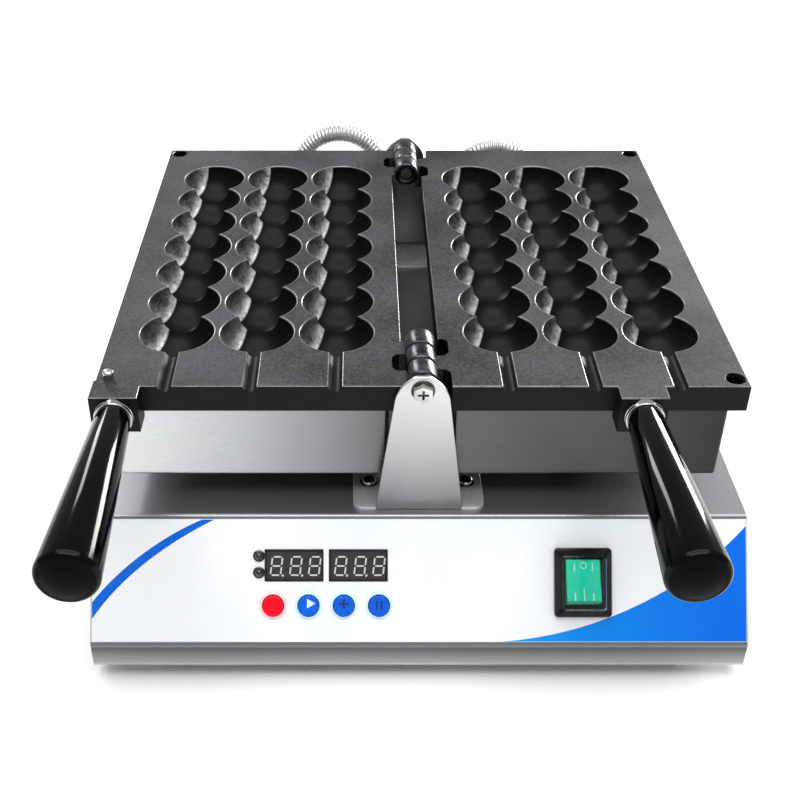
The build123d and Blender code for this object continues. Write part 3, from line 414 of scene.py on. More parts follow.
# The heater casings' brushed sheet, with painted reflection and shade: the left one pale at its
# outer end and darker towards the hinge, the right one darker all over and darkest at its outer
# end.
CASING_LEFT_PAINTED_REFLECTION = Faded(
    "stainless_brushed_casing_painted_reflection", 0.3, spread=0.05, grain=0.45, drawn=(60, 1, 1), relief=0.004,
    metallic=1.0, start=-146.0, end=-12.0,
    tones=((0.016, "#8e8f91"), (0.02, "#d0d1d2"), (0.45, "#aeafb1"), (1.0, "#5e5f60")),
    speckle=0.002,
)
CASING_RIGHT_PAINTED_SHADE = Faded(
    "stainless_brushed_casing_painted_shade", 0.3, spread=0.05, grain=0.45, drawn=(60, 1, 1), relief=0.004,
    metallic=1.0, start=12.0, end=146.0,
    tones=((0.0, "#606162"), (0.6, "#48494a"), (1.0, "#333334")),
)
# Stainless steel sheet, brushed upwards: the brackets, with a painted reflection that runs from
# darker at the deck to palest at the hinge.
BRUSHED_UPRIGHT_PAINTED_REFLECTION = Faded(
    "stainless_brushed_upright_painted_reflection", 0.34, spread=0.05, grain=0.4, drawn=(1, 1, 50), relief=0.004,
    metallic=1.0, axis="Z", start=74.0, end=146.0,
    tones=((0.0, "#7f8081"), (0.5, "#b2b3b4"), (1.0, "#d2d3d4")),
)
# The brackets' feet, satin from the bending press.
FOOT_SHEET = Finish(
    "stainless_satin_foot", 0.4, "#c9cacb", "#a4a5a7", 0.06, grain=0.4, drawn=(1, 40, 1),
    relief=0.006, metallic=0.55,
)
# Stainless steel shell, mill-polished, with painted shade and reflection by height: a dark band
# near the top of the lower skirt and a darker deck.
SHELL_PAINTED_SHADE = Faded(
    "stainless_mill_polished_painted_shade", 0.3, spread=0.02, grain=0.5, drawn=(40, 1, 1), patch=80, relief=0.0,
    metallic=0.8, axis="Z", start=10.0, end=80.0, speckle=0.01,
    tones=((0.0, "#a6a7a8"), (0.16, "#58595a"), (0.2, "#8f9092"), (0.86, "#b9babc"),
           (0.9, "#8d8e90")),
)
# Nickel-plated steel: bright screws, pins and ferrules.
NICKEL = Finish(
    "nickel_plated_steel", 0.15, "#d8d7d3", "#b0afac", 0.05, grain=0.4, patch=5, relief=0.004,
    metallic=1.0,
)
# Nickel with painted shade, for the screws' recesses and washers.
NICKEL_PAINTED_SHADE = replace(
    NICKEL, name="nickel_painted_shade", roughness=0.3, colour="#5b5b5a", shade="#343434"
)
# Zinc-plated steel: the nuts, elbows and collars, greyer and duller than nickel.
ZINC = Finish(
    "zinc_plated_steel", 0.28, "#b7b9bb", "#8a8d90", 0.08, grain=0.5, patch=7, relief=0.006,
    metallic=1.0
)
# Corrugated stainless steel strip: the hoses, bright on each rib.
HOSE_STEEL = Finish(
    "corrugated_stainless_strip", 0.32, "#c9cacb", "#a3a4a6", 0.06, grain=0.5, patch=9,
    relief=0.004, metallic=0.6,
)
# Phenolic resin, compression-moulded and buffed: deep black with a wet gloss.
PHENOLIC = Finish(
    "phenolic_buffed", 0.09, "#020202", "#010101", 0.03, grain=1.4, patch=25, relief=0.004,
    specular=0.13
)
# The grips' ends, where the mould's parting line was filed off: dull.
PHENOLIC_END = Finish(
    "phenolic_filed", 0.5, "#040404", "#020202", 0.06, grain=0.8, patch=9, relief=0.01,
    specular=0.06
)
# Polyester overlay, screen-printed white: bright, smooth and lightly glossy.
OVERLAY = Finish(
    "polyester_overlay_white", 0.22, "#f1f2f4", "#e8eaec", 0.03, grain=0.8, patch=60, relief=0.002
)
# Blue screen-printing ink on the overlay.
CORNER_INK = Faded(
    "screen_ink_blue_faded", 0.26, spread=0.03, grain=0.8, relief=0.002, specular=0.2, start=40.0,
    end=150.0, tones=((0.0, "#1494ec"), (1.0, "#0068dc")),
)
ARC_INK = Finish(
    "screen_ink_blue", 0.26, "#1068d8", "#0c5cc4", 0.03, grain=0.8, relief=0.002, specular=0.2
)
RED_HALO_INK = Finish("screen_ink_pale_red", 0.3, "#ffe0e3", "#fcd2d7", 0.03, relief=0.002)
BLUE_HALO_INK = replace(RED_HALO_INK, name="screen_ink_pale_blue", colour="#dcf2ff",
                        shade="#cbeafd")
# ABS, moulded: the keys, a strong colour with a soft sheen.
RED_KEY = Finish(
    "abs_moulded_red", 0.3, "#f2001c", "#e00018", 0.04, grain=0.5, patch=5, relief=0.006,
    specular=0.25
)
BLUE_KEY = replace(RED_KEY, name="abs_moulded_blue", colour="#0062dd", shade="#0052c4")
KEY_MARK = Finish("pad_ink_pale_blue", 0.35, "#d6f2ff", "#c6e9fb", 0.03, grain=0.5, relief=0.002)
KEY_MARK_DARK = replace(KEY_MARK, name="pad_ink_navy", colour="#0a2f86", shade="#08266e")
# Glass-filled nylon, moulded: the switch's frame and the displays' frames, black and glossy.
BLACK_MOULDING = Finish(
    "nylon_moulded_black", 0.2, "#121214", "#0a0a0b", 0.05, grain=0.5, patch=12, relief=0.004,
    coat=0.3
)
# The displays' filter, tinted acrylic: a very dark grey behind the digits.
DISPLAY_FILTER = Finish(
    "acrylic_filter_smoked", 0.16, "#2c2d2f", "#242527", 0.03, grain=0.6, patch=9, relief=0.001,
    coat=0.5
)
# Unlit digit segments: milky epoxy, with a faint painted glow.
SEGMENT = Finish(
    "epoxy_segment_unlit_painted_glow", 0.4, "#cbccc8", "#b4b6b1", 0.04, grain=0.4, relief=0.002, glow="#cbccc8",
    glow_strength=0.06,
)
# Smoked epoxy lamps.
LAMP = Finish(
    "epoxy_lamp_smoked", 0.12, "#1b1c1e", "#101113", 0.03, grain=0.5, patch=4, relief=0.002,
    coat=0.5
)
# Polycarbonate, dyed green, with a painted glow: the rocker.
ROCKER_GREEN = Finish(
    "polycarbonate_green", 0.2, "#00cba2", "#00b48e", 0.04, grain=0.6, patch=8, relief=0.002,
    coat=0.6, glow="#00ccaa", glow_strength=0.34,
)
# A darker copy of the rocker's green, with painted shade, for its lower end and underside.
ROCKER_PAINTED_SHADE = replace(
    ROCKER_GREEN, name="polycarbonate_green_painted_shade", colour="#068a6d", shade="#05705a", coat=0.5,
    glow="#06906f", glow_strength=0.3,
)
ROCKER_MARK = Finish("pad_ink_mint", 0.35, "#c9fff0", "#b4f3e1", 0.03, grain=0.4, relief=0.001)
# PVC, dip-moulded and clear: the splash cover over the rocker.
CLEAR_PVC = Finish(
    "pvc_clear", 0.012, "#f8fdfc", "#f1f9f7", 0.012, grain=1.5, patch=9, relief=0.0, ior=1.3,
    transmission=1.0,
)
# EPDM rubber, moulded: feet, and silicone pads under the casings.
RUBBER = Finish("epdm_moulded", 0.62, "#1c1c1c", "#121212", grain=0.5, patch=9, relief=0.02)
SILICONE = Finish("silicone_moulded_grey", 0.5, "#8b8d8f", "#7a7c7e", grain=0.5, patch=9)
# Inner parts: oxidised heater sheath, fibre board, circuit board and natural nylon.
SHEATH = Finish(
    "incoloy_sheath_oxidised", 0.45, "#6d6862", "#4d4945", 0.08, grain=0.4, patch=15, metallic=1.0
)
FIBRE = Finish(
    "ceramic_fibre_board", 0.9, "#ece8dd", "#dcd6c8", 0.05, grain=1.2, drawn=(3, 1, 1), relief=0.15
)
BOARD = Finish(
    "epoxy_glass_board_green", 0.35, "#1c6b3c", "#15552f", 0.05, grain=0.4, drawn=(4, 1, 1)
)
NYLON = Finish("nylon_natural", 0.45, "#e6e2d4", "#d8d3c3", 0.05, grain=0.5)


@cache
def material_of(finish: Finish) -> bpy.types.Material:
    """Give a finish's material, and make it the first time.

    Args:
        finish: The finish that is wanted.

    Returns:
        Its material.
    """
    return finish.build()


# Shapes


def spot(x: float, y: float, z: float, toward: Point = (0.0, 0.0, 1.0)) -> Matrix:
    """Give a place whose own +Z points along a direction.

    Args:
        x: Across, in millimetres.
        y: To the rear, in millimetres.
        z: Up, in millimetres.
        toward: The direction.

    Returns:
        The place, in metres.
    """
    turn = Vector((0.0, 0.0, 1.0)).rotation_difference(Vector(toward)).to_matrix().to_4x4()
    return Matrix.Translation(Vector((x, y, z)) * MM) @ turn


def arc(centre: Point, radius: float, start: float, end: float, steps: int = 6) -> list[Dot]:
    """Give points of an arc in a profile.

    Args:
        centre: The arc's centre.
        radius: Its radius.
        start: The first point's angle in degrees.
        end: The last point's angle in degrees.
        steps: How many chords it has.

    Returns:
        The points, one more than the chords.
    """
    turns = [math.radians(start + (end - start) * i / steps) for i in range(steps + 1)]
    return [(centre[0] + radius * math.cos(t), centre[1] + radius * math.sin(t)) for t in turns]


def turned(profile: Profile, place: Matrix, steps: int = 48, ring: bool = False) -> BMesh:
    """Turn a profile round its place's Z axis.

    Args:
        profile: Radius and height of each point, in millimetres.
        place: Where the axis stands.
        steps: How many faces go round.
        ring: Whether the profile closes on itself, as for a washer.

    Returns:
        The closed solid.
    """
    solid = bmesh.new()
    dots = [solid.verts.new((r * MM, 0.0, h * MM)) for r, h in profile]
    pairs = list(zip(dots, dots[1:])) + ([(dots[-1], dots[0])] if ring else [])
    chain = [solid.edges.new(pair) for pair in pairs]
    around = {"cent": (0, 0, 0), "axis": (0, 0, 1), "angle": math.tau, "steps": steps}
    bmesh.ops.spin(solid, geom=dots + chain, use_merge=True, **around)
    bmesh.ops.remove_doubles(solid, verts=solid.verts, dist=1e-7)
    bmesh.ops.recalc_face_normals(solid, faces=solid.faces)
    bmesh.ops.transform(solid, matrix=place, verts=solid.verts)
    return solid


def prism(outline: Profile, height: float, place: Matrix) -> BMesh:
    """Extrude a closed outline along its place's Z axis.

    Args:
        outline: The corners, in millimetres.
        height: The depth of the extrusion, in millimetres.
        place: Where the outline lies.

    Returns:
        The closed solid.
    """
    solid = bmesh.new()
    solid.faces.new([solid.verts.new((x * MM, y * MM, 0.0)) for x, y in outline])
    return raised(solid, height, place)


def polygon(sides: int, radius: float, height: float, place: Matrix = Matrix()) -> BMesh:
    """Extrude a regular polygon along its place's Z axis.

    Args:
        sides: How many sides it has.
        radius: The distance of its corners from the axis, in millimetres.
        height: The depth of the extrusion, in millimetres.
        place: Where the polygon lies.

    Returns:
        The closed solid.
    """
    solid = bmesh.new()
    bmesh.ops.create_circle(solid, cap_ends=True, segments=sides, radius=radius * MM)
    return raised(solid, height, place)


def raised(flat: BMesh, height: float, place: Matrix) -> BMesh:
    """Extrude a flat face and set the result on its place.

    Args:
        flat: The mesh with the face, which is changed.
        height: The depth of the extrusion, in millimetres.
        place: Where the face lies.

    Returns:
        The same mesh as a closed solid.
    """
    grown = bmesh.ops.extrude_face_region(flat, geom=list(flat.faces), use_keep_orig=True)["geom"]
    tops = [item for item in grown if isinstance(item, BMVert)]
    bmesh.ops.translate(flat, vec=(0, 0, height * MM), verts=tops)
    bmesh.ops.recalc_face_normals(flat, faces=flat.faces)
    bmesh.ops.transform(flat, matrix=place, verts=flat.verts)
    return flat


def soften(solid: BMesh, edges: Iterable[BMEdge], width: float, segments: int = 3) -> None:
    """Round edges.

    Args:
        solid: The solid that is changed.
        edges: The edges that are rounded.
        width: The round's width in millimetres.
        segments: How many faces it has.
    """
    bmesh.ops.bevel(
        solid,
        geom=list(edges),
        offset=width * MM,
        affect="EDGES",
        segments=segments,
        profile=0.5,
        material=-1,
        clamp_overlap=True,
    )


def block(
    size: Point, place: Matrix, corner: float = 0.0, rim: float = 0.0, foot: float = 0.0,
    steps: int = 5
) -> BMesh:
    """Make a box that stands on its place, with rounded corners and edges.

    Args:
        size: Width, depth and height in millimetres.
        place: The middle of its lower face.
        corner: The radius of the upright edges.
        rim: The radius round the upper face.
        foot: The radius round the lower face.
        steps: How many faces a corner has.

    Returns:
        The closed solid.
    """
    solid = bmesh.new()
    bmesh.ops.create_cube(solid, size=1.0)
    bmesh.ops.translate(solid, vec=(0, 0, 0.5), verts=solid.verts)
    bmesh.ops.scale(solid, vec=Vector(size) * MM, verts=solid.verts)
    top = size[2] * MM
    if corner:
        upright = [e for e in solid.edges if abs(e.verts[0].co.z - e.verts[1].co.z) > top / 2]
        soften(solid, upright, corner, steps)
    if rim:
        soften(solid, level_edges(solid, top), rim)
    if foot:
        soften(solid, level_edges(solid, 0.0), foot)
    bmesh.ops.transform(solid, matrix=place, verts=solid.verts)
    return solid


def level_edges(solid: BMesh, height: float) -> list[BMEdge]:
    """Find the edges that lie at one height.

    Args:
        solid: The solid.
        height: The height in metres.

    Returns:
        The edges with both ends there.
    """
    return [e for e in solid.edges if all(abs(v.co.z - height) < 1e-6 for v in e.verts)]


def upright_edges(solid: BMesh) -> list[BMEdge]:
    """Find the edges whose ends lie at different heights.

    Args:
        solid: The solid.

    Returns:
        The edges that rise by more than a millimetre.
    """
    return [e for e in solid.edges if abs(e.verts[0].co.z - e.verts[1].co.z) > 1 * MM]


def joined(parts: Iterable[BMesh]) -> BMesh:
    """Put several solids in one mesh.

    Args:
        parts: The solids, which are used up.

    Returns:
        One mesh that holds them all.
    """
    whole = bmesh.new()
    for part in parts:
        step = bpy.data.meshes.new("step")
        part.to_mesh(step)
        part.free()
        whole.from_mesh(step)
        bpy.data.meshes.remove(step)
    return whole


def dyed(solid: BMesh, index: int) -> BMesh:
    """Give all of a solid's faces one material.

    Args:
        solid: The solid.
        index: The material's number on the piece.

    Returns:
        The same solid.
    """
    for face in solid.faces:
        face.material_index = index
    return solid


def loose_object(name: str, solid: BMesh, home: bpy.types.Collection) -> bpy.types.Object:
    """Make a plain object from a solid.

    Args:
        name: The object's name.
        solid: The solid, which is used up.
        home: The collection that the object joins.

    Returns:
        The object.
    """
    mesh = bpy.data.meshes.new(name)
    solid.to_mesh(mesh)
    solid.free()
    made = bpy.data.objects.new(name, mesh)
    home.objects.link(made)
    return made


def carve(stock: BMesh, cutters: Sequence[BMesh], operation: str = "DIFFERENCE") -> BMesh:
    """Cut solids out of a solid, or add them to it.

    Args:
        stock: The solid that is worked on, which is used up.
        cutters: The other solids, which are used up. Their material numbers stay on the cut.
        operation: DIFFERENCE or UNION.

    Returns:
        The new solid.
    """
    scene = bpy.context.scene.collection
    tools = bpy.data.collections.new("cutters")
    scene.children.link(tools)
    work = loose_object("stock", stock, scene)
    for i, cutter in enumerate(cutters):
        loose_object(f"cutter_{i}", cutter, tools)
    cut = work.modifiers.new("cut", "BOOLEAN")
    cut.operation = operation
    cut.operand_type = "COLLECTION"
    cut.collection = tools
    cut.solver = "EXACT"
    shaped = work.evaluated_get(bpy.context.evaluated_depsgraph_get())
    result = bmesh.new()
    result.from_mesh(shaped.to_mesh())
    shaped.to_mesh_clear()
    for item in [work, *tools.objects]:
        mesh = item.data
        bpy.data.objects.remove(item)
        bpy.data.meshes.remove(mesh)
    bpy.data.collections.remove(tools)
    bmesh.ops.remove_doubles(result, verts=result.verts, dist=1e-7)
    return result


def fit_out(
    name: str,
    solid: BMesh,
    finishes: Sequence[Finish],
    body: str,
    stands_for: Sequence[str] = (),
    crease: float = 28.0,
) -> bpy.types.Object:
    """Turn a solid into a finished piece that rides on its body.

    Args:
        name: The piece's name.
        solid: Its shape, which is used up.
        finishes: The finishes, in the order of the faces' material numbers.
        body: The body that it rides on.
        stands_for: The solid model's nodes that it replaces.
        crease: The angle in degrees above which an edge stays sharp.

    Returns:
        The piece.
    """
    made = loose_object(name, solid, bpy.context.scene.collection)
    for finish in finishes:
        made.data.materials.append(material_of(finish))
    made.data.shade_smooth()
    made.data.set_sharp_from_angle(angle=math.radians(crease))
    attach(made, body)
    if stands_for:
        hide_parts(*stands_for)
    log.info("%s: %d faces", name, len(made.data.polygons))
    return made


def bright_piece(name: str, solid: BMesh, body: str, node: str) -> bpy.types.Object:
    """Finish a screw or a pin in nickel, with painted shade in its recesses and on its washer.

    Args:
        name: The piece's name.
        solid: Its shape, which is used up.
        body: The body that it rides on.
        node: The solid model's node that it replaces.

    Returns:
        The piece.
    """
    return fit_out(name, solid, [NICKEL, NICKEL_PAINTED_SHADE], body, [node])


def flat_shape(
    points: Sequence[tuple[Point, Point, Point]], place: Matrix, thickness: float = 0.04
) -> BMesh:
    """Make a thin inked shape from a closed curve.

    Args:
        points: For each point of the outline, its left handle, itself and its right handle.
        place: The plane that it lies on.
        thickness: The film's thickness in millimetres.

    Returns:
        The film as a closed solid.
    """
    curve = bpy.data.curves.new("outline", "CURVE")
    curve.dimensions = "2D"
    curve.fill_mode = "BOTH"
    curve.resolution_u = 16
    curve.extrude = thickness * MM / 2
    spline = curve.splines.new("BEZIER")
    spline.bezier_points.add(len(points) - 1)
    for dot, (before, middle, after) in zip(spline.bezier_points, points):
        dot.handle_left_type = "FREE"
        dot.handle_right_type = "FREE"
        dot.handle_left = Vector((*before, 0.0)) * MM
        dot.co = Vector((*middle, 0.0)) * MM
        dot.handle_right = Vector((*after, 0.0)) * MM
    spline.use_cyclic_u = True
    holder = bpy.data.objects.new("outline", curve)
    mesh = bpy.data.meshes.new_from_object(holder)
    film = bmesh.new()
    film.from_mesh(mesh)
    bmesh.ops.remove_doubles(film, verts=film.verts, dist=1e-6)
    bmesh.ops.translate(film, vec=(0, 0, thickness * MM / 2), verts=film.verts)
    bmesh.ops.transform(film, matrix=place, verts=film.verts)
    bpy.data.objects.remove(holder)
    bpy.data.curves.remove(curve)
    bpy.data.meshes.remove(mesh)
    return film


# The machine


@dataclass(frozen=True)
class Panel:
    """The sloped control panel: x across, v up the slope and out along its normal."""

    front: float = -141.0
    foot: float = 23.1
    rise: float = 50.9
    run: float = 37.5
    face: float = 0.8

    @property
    def up(self) -> Vector:
        """The direction up the slope.

        Returns:
            A vector of length 1.
        """
        return Vector((0.0, self.run, self.rise)).normalized()

    @property
    def out(self) -> Vector:
        """The direction out of the panel.

        Returns:
            A vector of length 1.
        """
        return Vector((0.0, -self.rise, self.run)).normalized()

    def at(self, x: float, v: float, out: float | None = None, tilt: float = 0.0) -> Matrix:
        """Give a place on the panel.

        Args:
            x: Across, in millimetres.
            v: Up the slope, in millimetres.
            out: Out of the sheet; the overlay's face if it isn't given.
            tilt: A turn about X in degrees, as the rocker has.

        Returns:
            The place, whose own Z points out of the panel.
        """
        out = self.face if out is None else out
        origin = Vector((x, self.front, self.foot)) + self.up * v + self.out * out
        across = Vector((1.0, 0.0, 0.0))
        flat = Matrix((across, self.up, self.out)).transposed().to_4x4()
        return Matrix.Translation(origin * MM) @ flat @ Matrix.Rotation(math.radians(tilt), 4, "X")


PANEL = Panel()


@dataclass(frozen=True)
class CrossScrew:
    """A pan-head screw with a cross recess and a washer face."""

    radius: float = 3.6
    height: float = 2.0
    washer: float = 0.0
    hexagon: bool = False
    recess: float = 3.6
    recess_width: float = 0.8
    recess_depth: float = 1.2

    def head(self) -> BMesh:
        """Make the head, standing on its seat at the origin.

        Returns:
            The head with its recess cut.
        """
        round_over = self.height * 0.55
        if self.hexagon:
            body = polygon(6, self.radius, self.height)
            soften(body, level_edges(body, self.height * MM), 0.5, 2)
        else:
            wall = (self.radius, self.height - round_over)
            crown = arc((self.radius - round_over, wall[1]), round_over, 0, 90)
            body = turned([(0, 0), (self.radius, 0), *crown, (0, self.height)], Matrix(), 36)
        top = spot(0, 0, self.height + 0.2 - self.recess_depth)
        long, wide, deep = self.recess, self.recess_width, self.recess_depth + 1
        # The cross recess takes material 1, nickel with painted shade.
        cross = [dyed(block((long, wide, deep), top), 1), dyed(block((wide, long, deep), top), 1)]
        body = carve(body, cross)
        # The washer face takes material 1 as well, a ring of painted shade.
        if self.washer:
            rim = [(0, 0), *arc((self.washer - 0.4, 0.4), 0.4, -90, 90), (0, 0.8)]
            body = joined([body, dyed(turned(rim, Matrix(), 36), 1)])
        return body

    def placed(self, places: Iterable[Matrix]) -> BMesh:
        """Put a head at each place.

        Args:
            places: Where the heads stand.

        Returns:
            All the heads in one mesh.
        """
        master = self.head()
        copies = []
        for place in places:
            copy = master.copy()
            bmesh.ops.transform(copy, matrix=place, verts=copy.verts)
            copies.append(copy)
        master.free()
        return joined(copies)


PIVOT_SCREW = CrossScrew(4.9, 4.0, 5.5, hexagon=True, recess=5.0, recess_width=1.1,
                         recess_depth=1.8)


@dataclass(frozen=True)
class BakingPlate:
    """A cast baking plate with scalloped channels, stick grooves, hinge pockets and its boss."""

    word: str
    side: int
    handle_x: float
    own: tuple[int, ...]
    pin_corner: bool
    front: float = -96.5
    rear: float = 174.0
    inner: float = 9.0
    reach: float = 150.0
    top: float = 144.85
    under: float = 131.0
    block_under: float = 121.0
    hinge_z: float = 145.0
    ball_radius: float = 18.0
    ball_pitch: float = 30.0
    balls: int = 7
    channel_xs: tuple[float, ...] = (40.0, 79.0, 118.0)
    first_ball: float = 47.0
    groove_radius: float = 3.2
    groove_stop: float = 10.0
    overrun: float = 12.0
    # The top band of each groove's left wall, which takes a painted highlight.
    highlit_groove_wall: float = 1.7
    rim: float = 0.7
    # The way that cavity walls with a painted highlight face.
    highlight_facing: Place = (0.932, -0.363, 0.0)
    boss: Place = (22.0, 19.0, 9.5)
    boss_setback: float = 4.7
    block_x: float = 79.5
    block_width: float = 126.0
    block_margin: float = 6.5
    knuckle: float = 12.5
    knuckle_gap: float = 0.5
    knuckle_radius: float = 7.3
    knuckle_edge: float = 1.3
    pin_radius: float = 4.05
    seat: float = 12.7
    pocket: float = 13.6
    pocket_round: float = 3.5
    corner_inset: float = 6.0
    hole_radius: float = 3.65
    hole_depth: float = 6.0

    @property
    def middle(self) -> float:
        """The middle of the plate along the hinge.

        Returns:
            Its place, in millimetres.
        """
        return (self.front + self.rear) / 2

    def mirrored(self, spans: Iterable[tuple[float, float]]) -> list[tuple[float, float]]:
        """Give spans at the front end of the hinge, and their mirror images at the rear.

        Args:
            spans: Front and rear face of each span.

        Returns:
            All the spans.
        """
        spans = list(spans)
        return spans + [(2 * self.middle - b, 2 * self.middle - a) for a, b in spans]

    def span(self, index: int) -> tuple[float, float]:
        """Give a knuckle's front and rear face.

        Args:
            index: The knuckle's number from the front.

        Returns:
            The two faces.
        """
        start = self.front + self.knuckle_gap + index * (self.knuckle + self.knuckle_gap)
        return start, start + self.knuckle

    def stock(self) -> BMesh:
        """Make the plate before its cavities are cut.

        Returns:
            The flange, the block under it and the handle's boss in one solid.
        """
        wide, deep, out = self.boss
        near, far = self.handle_x - wide / 2, self.handle_x + wide / 2
        shoulder = self.front + (self.boss_setback if far > self.reach else 0.0)
        outline = [
            (self.inner, self.front), (near, self.front), (near, self.front - out),
            (far, self.front - out), (far, shoulder), (self.reach, shoulder),
            (self.reach, self.rear), (self.inner, self.rear),
        ]
        outline = [(self.side * x, y) for x, y in outline]
        whole = prism(outline, self.top - self.under, spot(0, 0, self.under))
        corner = Vector((self.side * self.reach, self.rear)) * MM
        upright = [
            e for e in upright_edges(whole) if (e.verts[0].co.xy - corner).length < 0.01 * MM
        ]
        soften(whole, upright, 2.0, 5)
        soften(whole, level_edges(whole, self.top * MM), 0.8)
        low = self.hinge_z - deep
        under_boss = block(
            (wide, out + 3.0, self.under - low + 1.0),
            spot(self.side * self.handle_x, self.front - out + (out + 3.0) / 2, low),
        )
        length = self.rear - self.front - 2 * self.block_margin
        lower = block(
            (self.block_width, length, self.under - self.block_under + 1.0),
            spot(self.side * self.block_x, self.middle, self.block_under),
        )
        return carve(whole, [under_boss, lower], "UNION")

    def ball_cutter(self, x: float, y: float) -> BMesh:
        """Make the cutter for one ball of a channel, with a rounded rim.

        Args:
            x: The ball's place across.
            y: The ball's place along the channel.

        Returns:
            The cutter.
        """
        radius, rim = self.ball_radius, self.rim
        start = -math.degrees(math.asin(rim / radius))
        bowl = arc((0, 0), radius, -90, start, 20)
        lip = arc((radius + rim, -rim), rim, 180, 90, 3)
        profile = [(0.0, -radius), *bowl[1:], *lip[1:], (radius + rim, 3.0), (0.0, 3.0)]
        cutter = turned(profile, spot(x, y, self.top), 72)
        # The rim takes the edge finish: lighter lines, partly painted highlight.
        for face in cutter.faces:
            depth = face.calc_center_median().z / MM - self.top
            face.material_index = 1 if depth < -rim else 3
        return cutter

    def groove_cutter(self, x: float) -> BMesh:
        """Make the cutter for one stick groove.

        Args:
            x: The groove's place across.

        Returns:
            The cutter.
        """
        radius, rim = self.groove_radius, 0.45
        lower = arc((0, 0), radius, -172, -8, 14)
        outline = [
            (-radius - rim, 3.0),
            *arc((-radius - rim, -rim), rim, 90, 0, 2),
            *lower,
            *arc((radius + rim, -rim), rim, 180, 90, 2),
            (radius + rim, 3.0),
        ]
        length = self.first_ball - self.groove_stop
        place = Matrix.Translation(Vector((x, self.front + length, self.top)) * MM)
        cutter = prism(outline, length + self.overrun, place @ QUARTER_TURN_X)
        for face in cutter.faces:
            middle = face.calc_center_median() / MM
            # The top band of the left wall takes a painted highlight; the rims take the edge
            # finish.
            highlit = middle.x < x and middle.z > self.top - self.highlit_groove_wall
            face.material_index = 3 if highlit or middle.z > self.top - rim else 2
        return cutter

    def build(self) -> bpy.types.Object:
        """Cut the cavities and fit the plate out.

        Returns:
            The finished plate.
        """
        cutters = []
        for x in self.channel_xs:
            cutters.append(self.groove_cutter(self.side * x))
            for j in range(self.balls):
                y = self.front + self.first_ball + j * self.ball_pitch
                cutters.append(self.ball_cutter(self.side * x, y))
        thick = self.top - self.under + 4
        for a, b in self.mirrored(self.span(i) for i in self.own):
            place = spot(self.side * self.seat / 2, (a + b) / 2, self.under - 1)
            cutters.append(dyed(block((self.seat, b - a, thick), place), 2))
        others = [self.span(i) for i in range(3) if i not in self.own]
        pockets = []
        for a, b in others:
            first = a < self.front + 1
            low = a - self.knuckle_gap - (4.5 if first else 0)
            pockets.append((low, b + (self.knuckle_gap if b < self.front + 30 else 1.5)))
        for a, b in self.mirrored(pockets):
            place = spot(0, (a + b) / 2, self.under - 1)
            size = (2 * self.pocket, b - a, thick)
            cutters.append(dyed(block(size, place, corner=self.pocket_round), 1))
        corner_x = self.side * (self.reach - self.corner_inset)
        depth, radius = self.hole_depth, self.hole_radius
        for y in (self.front + self.corner_inset, self.rear - self.corner_inset):
            if self.pin_corner and y < self.middle:
                continue
            steps = [(0, -depth), (radius, -depth), (radius, -1), (radius + 0.8, -1)]
            steps += [(radius + 0.8, -0.3), (radius + 1.1, 0), (radius + 1.1, 2), (0, 2)]
            cutters.append(dyed(turned(steps, spot(corner_x, y, self.top), 32), 1))
        solid = carve(self.stock(), cutters)
        # Steep faces take the side finish; rounded and sunken faces of the top take the edge
        # finish, lighter lines that are partly painted highlight.
        for face in solid.faces:
            level = face.calc_center_median().z / MM
            if face.material_index == 0 and face.normal.z < 0.3:
                face.material_index = 2
            elif face.material_index == 0 and (face.normal.z < 0.9 or level < self.top - 0.3):
                face.material_index = 3 if face.normal.z > 0.3 else 2
        # Mark the cavity walls that take the painted highlight.
        self.painted_highlight(solid)
        return fit_out(
            f"{self.word}_baking_plate", solid,
            [CASTING_FACE, CASTING_CAVITY, CASTING_SIDE, CASTING_EDGE_AND_HIGHLIGHT],
            f"{self.word}_plate", [f"{self.word}_grill_plate"], 14.0,
        )

    def painted_highlight(self, solid: BMesh) -> None:
        """Mark how far each point of the cavities' walls faces right and a little to the front,
        where a highlight is painted.

        Args:
            solid: The carved plate.
        """
        mark = solid.verts.layers.float.new("painted_highlight")
        for vert in solid.verts:
            walls = [
                f.normal for f in vert.link_faces if f.material_index == 1 and f.normal.z > 0.02
            ]
            if walls:
                vert[mark] = max(0.0, sum(walls, Vector()).normalized().dot(self.highlight_facing))

    def knuckles(self) -> bpy.types.Object:
        """Make the plate's hinge knuckles with their arms.

        Returns:
            The knuckles as one piece.
        """
        parts = []
        for a, b in self.mirrored(self.span(i) for i in self.own):
            length, outer, bore = b - a, self.knuckle_radius, self.pin_radius
            inner, edge = bore + 1.0, self.knuckle_edge
            profile = [
                (bore, 0.6), (inner, 0.0), *arc((outer - edge, edge), edge, -90, 0, 4),
                *arc((outer - edge, length - edge), edge, 0, 90, 4), (inner, length),
                (bore, length - 0.6),
            ]
            parts.append(turned(profile, spot(0, a, self.hinge_z, (0, 1, 0)), 56, ring=True))
            flip = self.side
            outline = [
                (flip * self.seat, -0.15), (flip * 4.6, -0.15), (flip * 4.6, -outer * 0.75),
                (flip * 6.6, -14.0), (flip * 22.0, -14.0), (flip * 22.0, -6.0),
                (flip * self.seat, -6.0),
            ]
            place = Matrix.Translation(Vector((0, b - 0.4, self.hinge_z)) * MM) @ QUARTER_TURN_X
            parts.append(dyed(prism(outline, length - 0.8, place), 1))
        node = f"{self.word}_hinge_lugs"
        return fit_out(f"{self.word}_hinge_knuckles", joined(parts),
                       [BLACKENED_STEEL, CASTING_FACE], f"{self.word}_plate", [node])


